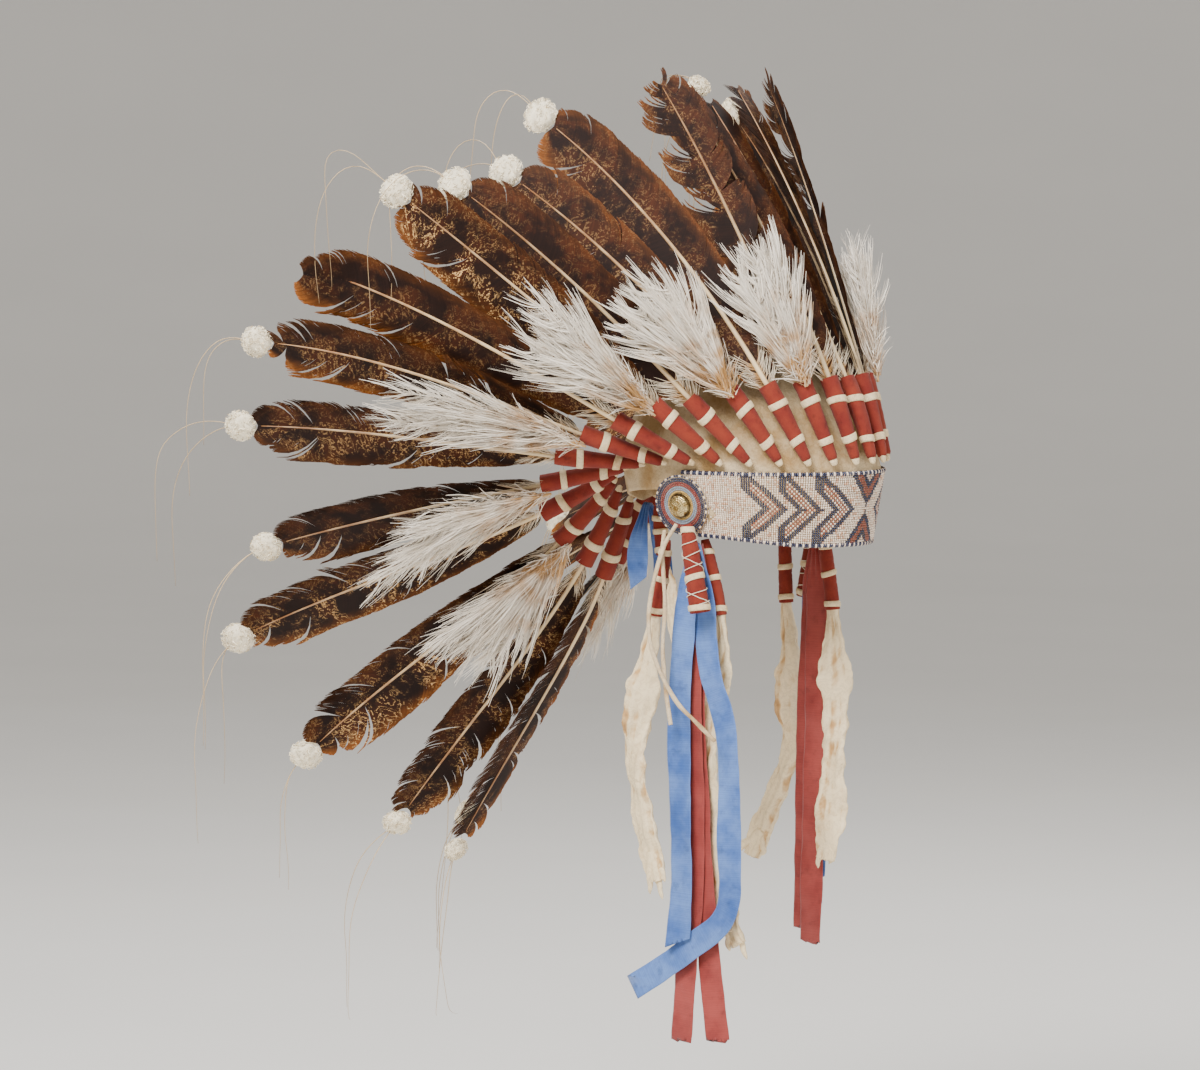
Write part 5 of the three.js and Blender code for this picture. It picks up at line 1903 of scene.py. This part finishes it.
@dataclass
class Ribbon:
    """A silk ribbon that hangs by its middle, so it has two tails.

    Attributes:
        name: The piece's name.
        node: Its construction node.
        side: RIGHT or LEFT.
        knot: Where it is tied, as X, distance outwards and Z.
        tails: The two tails, as rows of X, distance outwards, Z and turn in degrees.
        cuts: How each tail's end is cut.
        slot: Which silk finish it takes, 'blue_silk' or 'red_silk'.
    """

    name: str
    node: str
    side: int
    knot: tuple[float, float, float]
    tails: tuple[tuple[tuple[float, float, float, float], ...], ...]
    cuts: tuple[EndCut, EndCut]
    slot: str

    WIDTH = 19.0
    THICKNESS = 0.45

    def build(self, finish: Material) -> Object:
        first, second = self.tails
        over = (self.knot[0], self.knot[1], self.knot[2] + 4.0, 0.0)
        rows = [*first[::-1][:-1], over, *second[1:]]
        path = Path(outward(rows, self.side), 700)
        keys = np.array([r[3] for r in rows], float)
        places = self._places(path, rows)
        middle = places[len(first) - 1]
        seed = float(sum(map(ord, self.node)) % 53)
        count, span = 210, 17
        u = np.linspace(-1, 1, span)
        s = np.linspace(0, 1, count)
        low = self._notch(self.cuts[0], u, seed)
        high = path.length - self._notch(self.cuts[1], u, seed + 1)
        at = low[None, :] + (high - low)[None, :] * s[:, None]
        flat = at.ravel()
        centre, along, wide, thick = hang(path, flat)
        turn = np.interp(flat, places, keys) * DEG + 0.16 * ripple(flat * 0.02, seed)
        lean = wide * np.cos(turn)[:, None] + thick * np.sin(turn)[:, None]
        through = np.cross(along, lean)
        gather = 0.3 + 0.7 * smooth(0, 46, np.abs(flat - middle))
        uu = np.broadcast_to(u, (count, span)).ravel()
        across = self.WIDTH / 2 * uu * gather
        pleat = 1.25 * (1 - gather) / 0.7 * np.sin(uu * 3 * math.pi + 0.6)
        curl = 0.5 * ripple(flat * 0.03, seed + 2) * (uu**2 - 0.4) + 0.3 * ripple(flat * 0.05 + uu * 0.7, seed + 4)
        crease = 0.12 * ripple(flat * 0.14 + 0.5 * uu, seed + 6, 3)
        surface = centre + lean * across[:, None] + through * (pleat + (curl + crease) * gather)[:, None]
        surface = surface.reshape(count, span, 3)
        normal = unit(np.cross(np.gradient(surface, axis=0), np.gradient(surface, axis=1)))
        half = 0.5 * self.THICKNESS * normal
        rings = np.concatenate([surface + half, (surface - half)[:, ::-1]], axis=1)
        whole_u = np.concatenate([u, u[::-1]]) * self.WIDTH / 2
        whole_at = np.concatenate([at, at[:, ::-1]], axis=1)
        draft = Draft()
        draft.loft(rings, along=whole_at, across=whole_u[None, :])
        piece = draft.build(self.name, [finish])
        LOG.info("%s: ribbon %.0f mm from end to end", self.name, path.length)
        return dress(piece, self.slot, self.node)

    @staticmethod
    def _places(path: Path, rows: Sequence[Sequence[float]]) -> Array:
        """How far along the path each row's point lies."""
        steps = np.array([r[:3] for r in rows], float)
        chords = np.concatenate([[0.0], np.cumsum(np.linalg.norm(np.diff(steps, axis=0), axis=1))])
        return chords / chords[-1] * path.length

    @staticmethod
    def _notch(cut: EndCut, u: Array, seed: float) -> Array:
        """How far short of the end the cloth stops, across its width."""
        if cut is EndCut.SWALLOWTAIL:
            return 13.0 * (1 - np.abs(u)) + 0.3 * np.abs(ripple(u * 9, seed))
        if cut is EndCut.SLANTED:
            return 5.0 + 4.5 * u + 0.5 * np.abs(ripple(u * 8, seed))
        return 4.0 + 3.2 * ripple(u * 2.2, seed + 5) + 1.2 * np.abs(ripple(u * 9, seed))


# --------------------------------------------------------------------------- the stage


@dataclass
class Stage:
    """The floor, the lights and the camera."""

    floor_z: float = -0.62
    azimuth: float = 35.0
    elevation: float = 4.0
    distance: float = 5.0
    lens: float = 204.0

    def build(self) -> None:
        """Builds the whole stage."""
        self._camera()
        self._floor()
        self._lights()

    def _camera(self) -> None:
        """Places the camera off the wearer's right front."""
        turn, rise = self.azimuth * DEG, self.elevation * DEG
        back = Vector((math.sin(turn) * math.cos(rise), -math.cos(turn) * math.cos(rise), math.sin(rise)))
        right = Vector((math.cos(turn), math.sin(turn), 0.0))
        target = right * -0.115 + Vector((0, 0, -0.050))
        camera = bpy.data.cameras.new("camera")
        camera.lens = self.lens
        camera.sensor_width = 36.0
        camera.clip_end = 60.0
        eye = bpy.data.objects.new("camera", camera)
        eye.location = target + back * self.distance
        eye.rotation_euler = (target - eye.location).to_track_quat("-Z", "Y").to_euler()
        bpy.context.scene.collection.objects.link(eye)
        bpy.context.scene.camera = eye

    def _floor(self) -> None:
        """Lays a pale floor that curves up far behind."""
        climb = 6.0
        bow = [(r, 0.0) for r in np.linspace(0.0, 7.0, 12)]
        bow += [(7.0 + climb * math.sin(a), climb * (1 - math.cos(a))) for a in np.linspace(0.1, 0.5 * math.pi, 16)]
        around = 64
        angle = np.arange(around) * 2 * math.pi / around
        rings = np.array([[(max(r, 0.01) * math.cos(a), max(r, 0.01) * math.sin(a), z) for a in angle] for r, z in bow])
        draft = Draft()
        draft.loft((rings + np.array([0, 0, self.floor_z])) / MM, capped=False)
        finish = StageFinish("floor_paint", roughness=0.9, specular=0.1).make()
        floor = draft.build("stage_floor", [finish])

    def _lights(self) -> None:
        """Hangs soft panels, and fills the room with pale light."""
        world = bpy.data.worlds.new("studio")
        world.use_nodes = True
        world.node_tree.nodes["Background"].inputs["Color"].default_value = (1.0, 0.98, 0.95, 1.0)
        world.node_tree.nodes["Background"].inputs["Strength"].default_value = 0.6
        bpy.context.scene.world = world
        for name, azimuth, rise, power, size in (
            ("key", 10.0, 40.0, 165.0, 1.2),
            ("fill", 85.0, 15.0, 34.0, 2.2),
            ("rim", 200.0, 45.0, 60.0, 1.4),
        ):
            lamp = bpy.data.lights.new(name, "AREA")
            lamp.energy, lamp.size = power, size
            post = bpy.data.objects.new(name, lamp)
            turn, lift = azimuth * DEG, rise * DEG
            post.location = 3.0 * Vector((math.sin(turn) * math.cos(lift), -math.cos(turn) * math.cos(lift), math.sin(lift)))
            post.rotation_euler = (-post.location).to_track_quat("-Z", "Y").to_euler()
            bpy.context.scene.collection.objects.link(post)


@dataclass(frozen=True)
class StageFinish(Finish):
    """Plain pale paint for the floor."""

    colour: str = "ece9e4"

    def make(self) -> Material:
        """Builds the material."""
        material, nodes, shader = self.start()
        speck = nodes.add("TexNoise", Vector=nodes.add("TexCoord").outputs["Object"], Scale=3.0, Detail=2.0)
        nodes.feed(shader.inputs["Base Color"], nodes.mix(speck.outputs["Fac"], shade(self.colour), shade("e6e3de")))
        return material


# --------------------------------------------------------------------------- assembly


def main() -> None:
    """Builds the whole headdress in order."""
    logging.basicConfig(level=logging.INFO, format="%(message)s")
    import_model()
    Stage().build()
    lace_hide = HideFinish("lace_hide", roughness=0.85, pale="d9c3a0", dark="b08955", stain=0.4, grain=0.9).make()
    for lace in LACES:
        lace.build(lace_hide)
    cap_hide = HideFinish("cap_hide", roughness=0.85, pale="cbb590", dark="9b7a4c", stain=0.5, stain_size=40).make()
    beads = BeadBox()
    brass = BrassFinish("worn_brass", roughness=0.3).make()
    Cap().build(cap_hide)
    BrowBand().build(cap_hide, beads)
    for side in (RIGHT, LEFT):
        Rosette(side).build(cap_hide, beads, brass)
    kit = FeatherKit()
    for number in range(NAPE + 1):
        for side in (RIGHT,) if number in (0, NAPE) else (RIGHT, LEFT):
            Feather(
                number,
                side,
                mottle=MOTTLED.get(number, 0.25),
                frayed=FRAYED.get(number, 0.25),
                curl=14.0 if number == 7 else 0.0,
                strands=2 if FEATHERS[number].tuft else 0,
            ).build(kit)
    LOG.info("feathers done")
    down = [
        GradedFinish("plume_shaft", roughness=0.6, root="c79f68", tip="f0e6d4", turn=0.6).make(),
        GradedFinish("plume_down", roughness=0.9, root="b98d57", tip="e9dfd0", turn=0.6, speckle=0.16).make(),
    ]
    for row in PLUMES:
        for side in (RIGHT, LEFT):
            Plume(row, side).build(down)
    hang_kit = HangKit(kit.slots[FeatherKit.CLOTH], kit.slots[FeatherKit.HIDE])
    for drop in DROPS:
        drop.build(hang_kit)
    for hanger in HANGERS:
        hanger.build(hang_kit)
    blue = RibbonFinish("blue_silk", roughness=0.55, sheen=0.2).make()
    red = RibbonFinish("red_silk", roughness=0.55, sheen=0.2, colour="7c2420", faded="9c3f38", dark="541513").make()
    for ribbon in RIBBONS:
        ribbon.build(blue if ribbon.slot == "blue_silk" else red)


MOTTLED: dict[int, float] = {4: 0.35, 6: 0.9, 8: 0.4, 9: 0.55, 11: 0.8, 12: 0.95, 13: 0.6}
FRAYED: dict[int, float] = {1: 0.5, 2: 0.6, 9: 0.4, 13: 0.9, 14: 0.9}

LACES: tuple[Lace, ...] = (
    Lace(
        "lace_long_r",
        "thong_long_r",
        ((-14, 84, -38), (-19, 92.5, -54), (-30, 95, -98), (-28, 95, -128), (-7, 95, -165), (10, 94, -180), (26, 93, -193)),
    ),
    Lace(
        "lace_short_r",
        "thong_short_r",
        ((-25, 83, -43), (-23, 88.5, -57), (-20, 89.5, -98), (-22, 89.5, -128), (-19, 89.5, -160), (-15, 89.5, -184)),
    ),
)


DROPS: tuple[HideDrop, ...] = (
    HideDrop("skin_drop_rear_r", "hide_drop_rear_r", RIGHT, (
        (-25, 80, -50), (-34, 81, -106), (-40, 82, -138), (-50, 82, -188), (-52, 82, -212), (-46, 82, -248),
        (-36, 82, -284), (-30, 82, -312)), toes=((-8, 8), (1, 14), (7, 2))),
    HideDrop("skin_drop_front_r", "hide_drop_front_r", RIGHT, (
        (-5, 60, -50), (8, 60, -106), (6, 60, -140), (-2, 60, -170), (-4, 60, -212), (1, 60, -268),
        (15, 60, -323), (30, 60, -356)), toes=((-7, 2), (5, 12))),
    HideDrop("skin_drop_rear_l", "hide_drop_rear_l", LEFT, (
        (-28, 80, -50), (-27, 81, -106), (-24, 82, -140), (-23, 82, -188), (-22, 82, -210), (-38, 82, -253),
        (-54, 82, -288), (-62, 82, -310)), toes=((-12, 12), (-2, 0), (9, -4))),
    HideDrop("skin_drop_front_l", "hide_drop_front_l", LEFT, (
        (20, 60, -52), (28, 60, -106), (30, 60, -143), (30, 60, -200), (28, 60, -245), (24, 60, -280),
        (20, 60, -306)), toes=((-5, 8), (4, 3))),
    HideDrop("skin_drop_nape", "nape_drop", RIGHT, (
        (-88, 0, -32), (-82, 1, -70), (-76, 3, -96), (-66, 5, -124), (-60, 6, -150)),
        toes=((-5, 2), (5, 4)), wrap_length=36.0, half_width=8.0),
)

HANGERS: tuple[Hanger, ...] = (
    Hanger(RIGHT, (-5, 83.5, -38), (8, 85.5, -101)),
    Hanger(LEFT, (-2, 83.5, -38), (-12, 85.5, -101)),
)

RIBBONS: tuple[Ribbon, ...] = (
    Ribbon("silk_blue_r", "blue_ribbon_r", RIGHT, (-3, 74.5, -56), (
        ((-4, 75.7, -56, 0), (-8, 76, -76, 0), (-14, 76, -130, 0), (-17, 76, -180, 8), (-16, 76, -240, 0),
         (-14, 77, -300, -10), (-17, 78, -350, 14)),
        ((-2, 73.3, -56, 0), (1, 73, -76, 0), (8, 73, -143, 0), (22, 73, -187, 8), (25, 73, -268, -6),
         (22, 73, -322, 0), (-8, 74, -348, 0), (-34, 75, -366, 0), (-58, 76, -381, 0)),
    ), (EndCut.SLANTED, EndCut.SWALLOWTAIL), "blue_silk"),
    Ribbon("silk_red_r", "red_ribbon_r", RIGHT, (-4, 69.4, -56), (
        ((-5, 70.4, -56, 0), (-8, 70.5, -76, 0), (-10, 70.5, -140, -6), (-9, 70, -220, 0), (-9, 70, -300, 6),
         (-14, 70, -360, 0), (-19, 70, -422, -8)),
        ((-3, 68.2, -56, 0), (-4, 67.8, -76, 0), (-9, 67.8, -140, 0), (-5, 67.4, -250, 4), (2, 67, -340, 0),
         (12, 67, -420, -8)),
    ), (EndCut.TORN, EndCut.TORN), "red_silk"),
    Ribbon("silk_red_l", "red_ribbon_l", LEFT, (6, 69, -56), (
        ((5, 70, -56, 0), (4, 70, -90, 0), (3, 70, -120, 0), (-1, 70, -200, -4), (-2, 70, -280, 4),
         (-3, 70, -352, 0)),
        ((7, 68, -56, 0), (9, 67.4, -90, 0), (9, 67, -140, 0), (7, 66.8, -240, 0), (4, 66.8, -362, 6)),
    ), (EndCut.TORN, EndCut.TORN), "red_silk"),
    Ribbon("silk_blue_l", "blue_ribbon_l", LEFT, (4, 74.8, -56), (
        ((3, 75.8, -56, 0), (1, 76, -90, 0), (-1, 76, -120, 0), (-3, 76, -220, 5), (-2, 77, -330, 0)),
        ((5, 73.8, -56, 0), (7, 73.6, -90, 0), (6, 73.4, -140, 0), (5, 73, -230, -5), (3, 73, -318, 0)),
    ), (EndCut.SWALLOWTAIL, EndCut.SLANTED), "blue_silk"),
    Ribbon("silk_nape", "nape_ribbon", LEFT, (-97, 0, -34.5), (
        ((-97, -2, -34.5, 0), (-97, -8, -46, 10), (-97, -13, -64, 0), (-95, -15, -94, -10)),
        ((-97, 2, -34.5, 0), (-96, 8, -46, 0), (-93, 12, -64, 8), (-91, 13, -98, 0)),
    ), (EndCut.SLANTED, EndCut.SWALLOWTAIL), "blue_silk"),
)


if __name__ == "__main__":
    main()
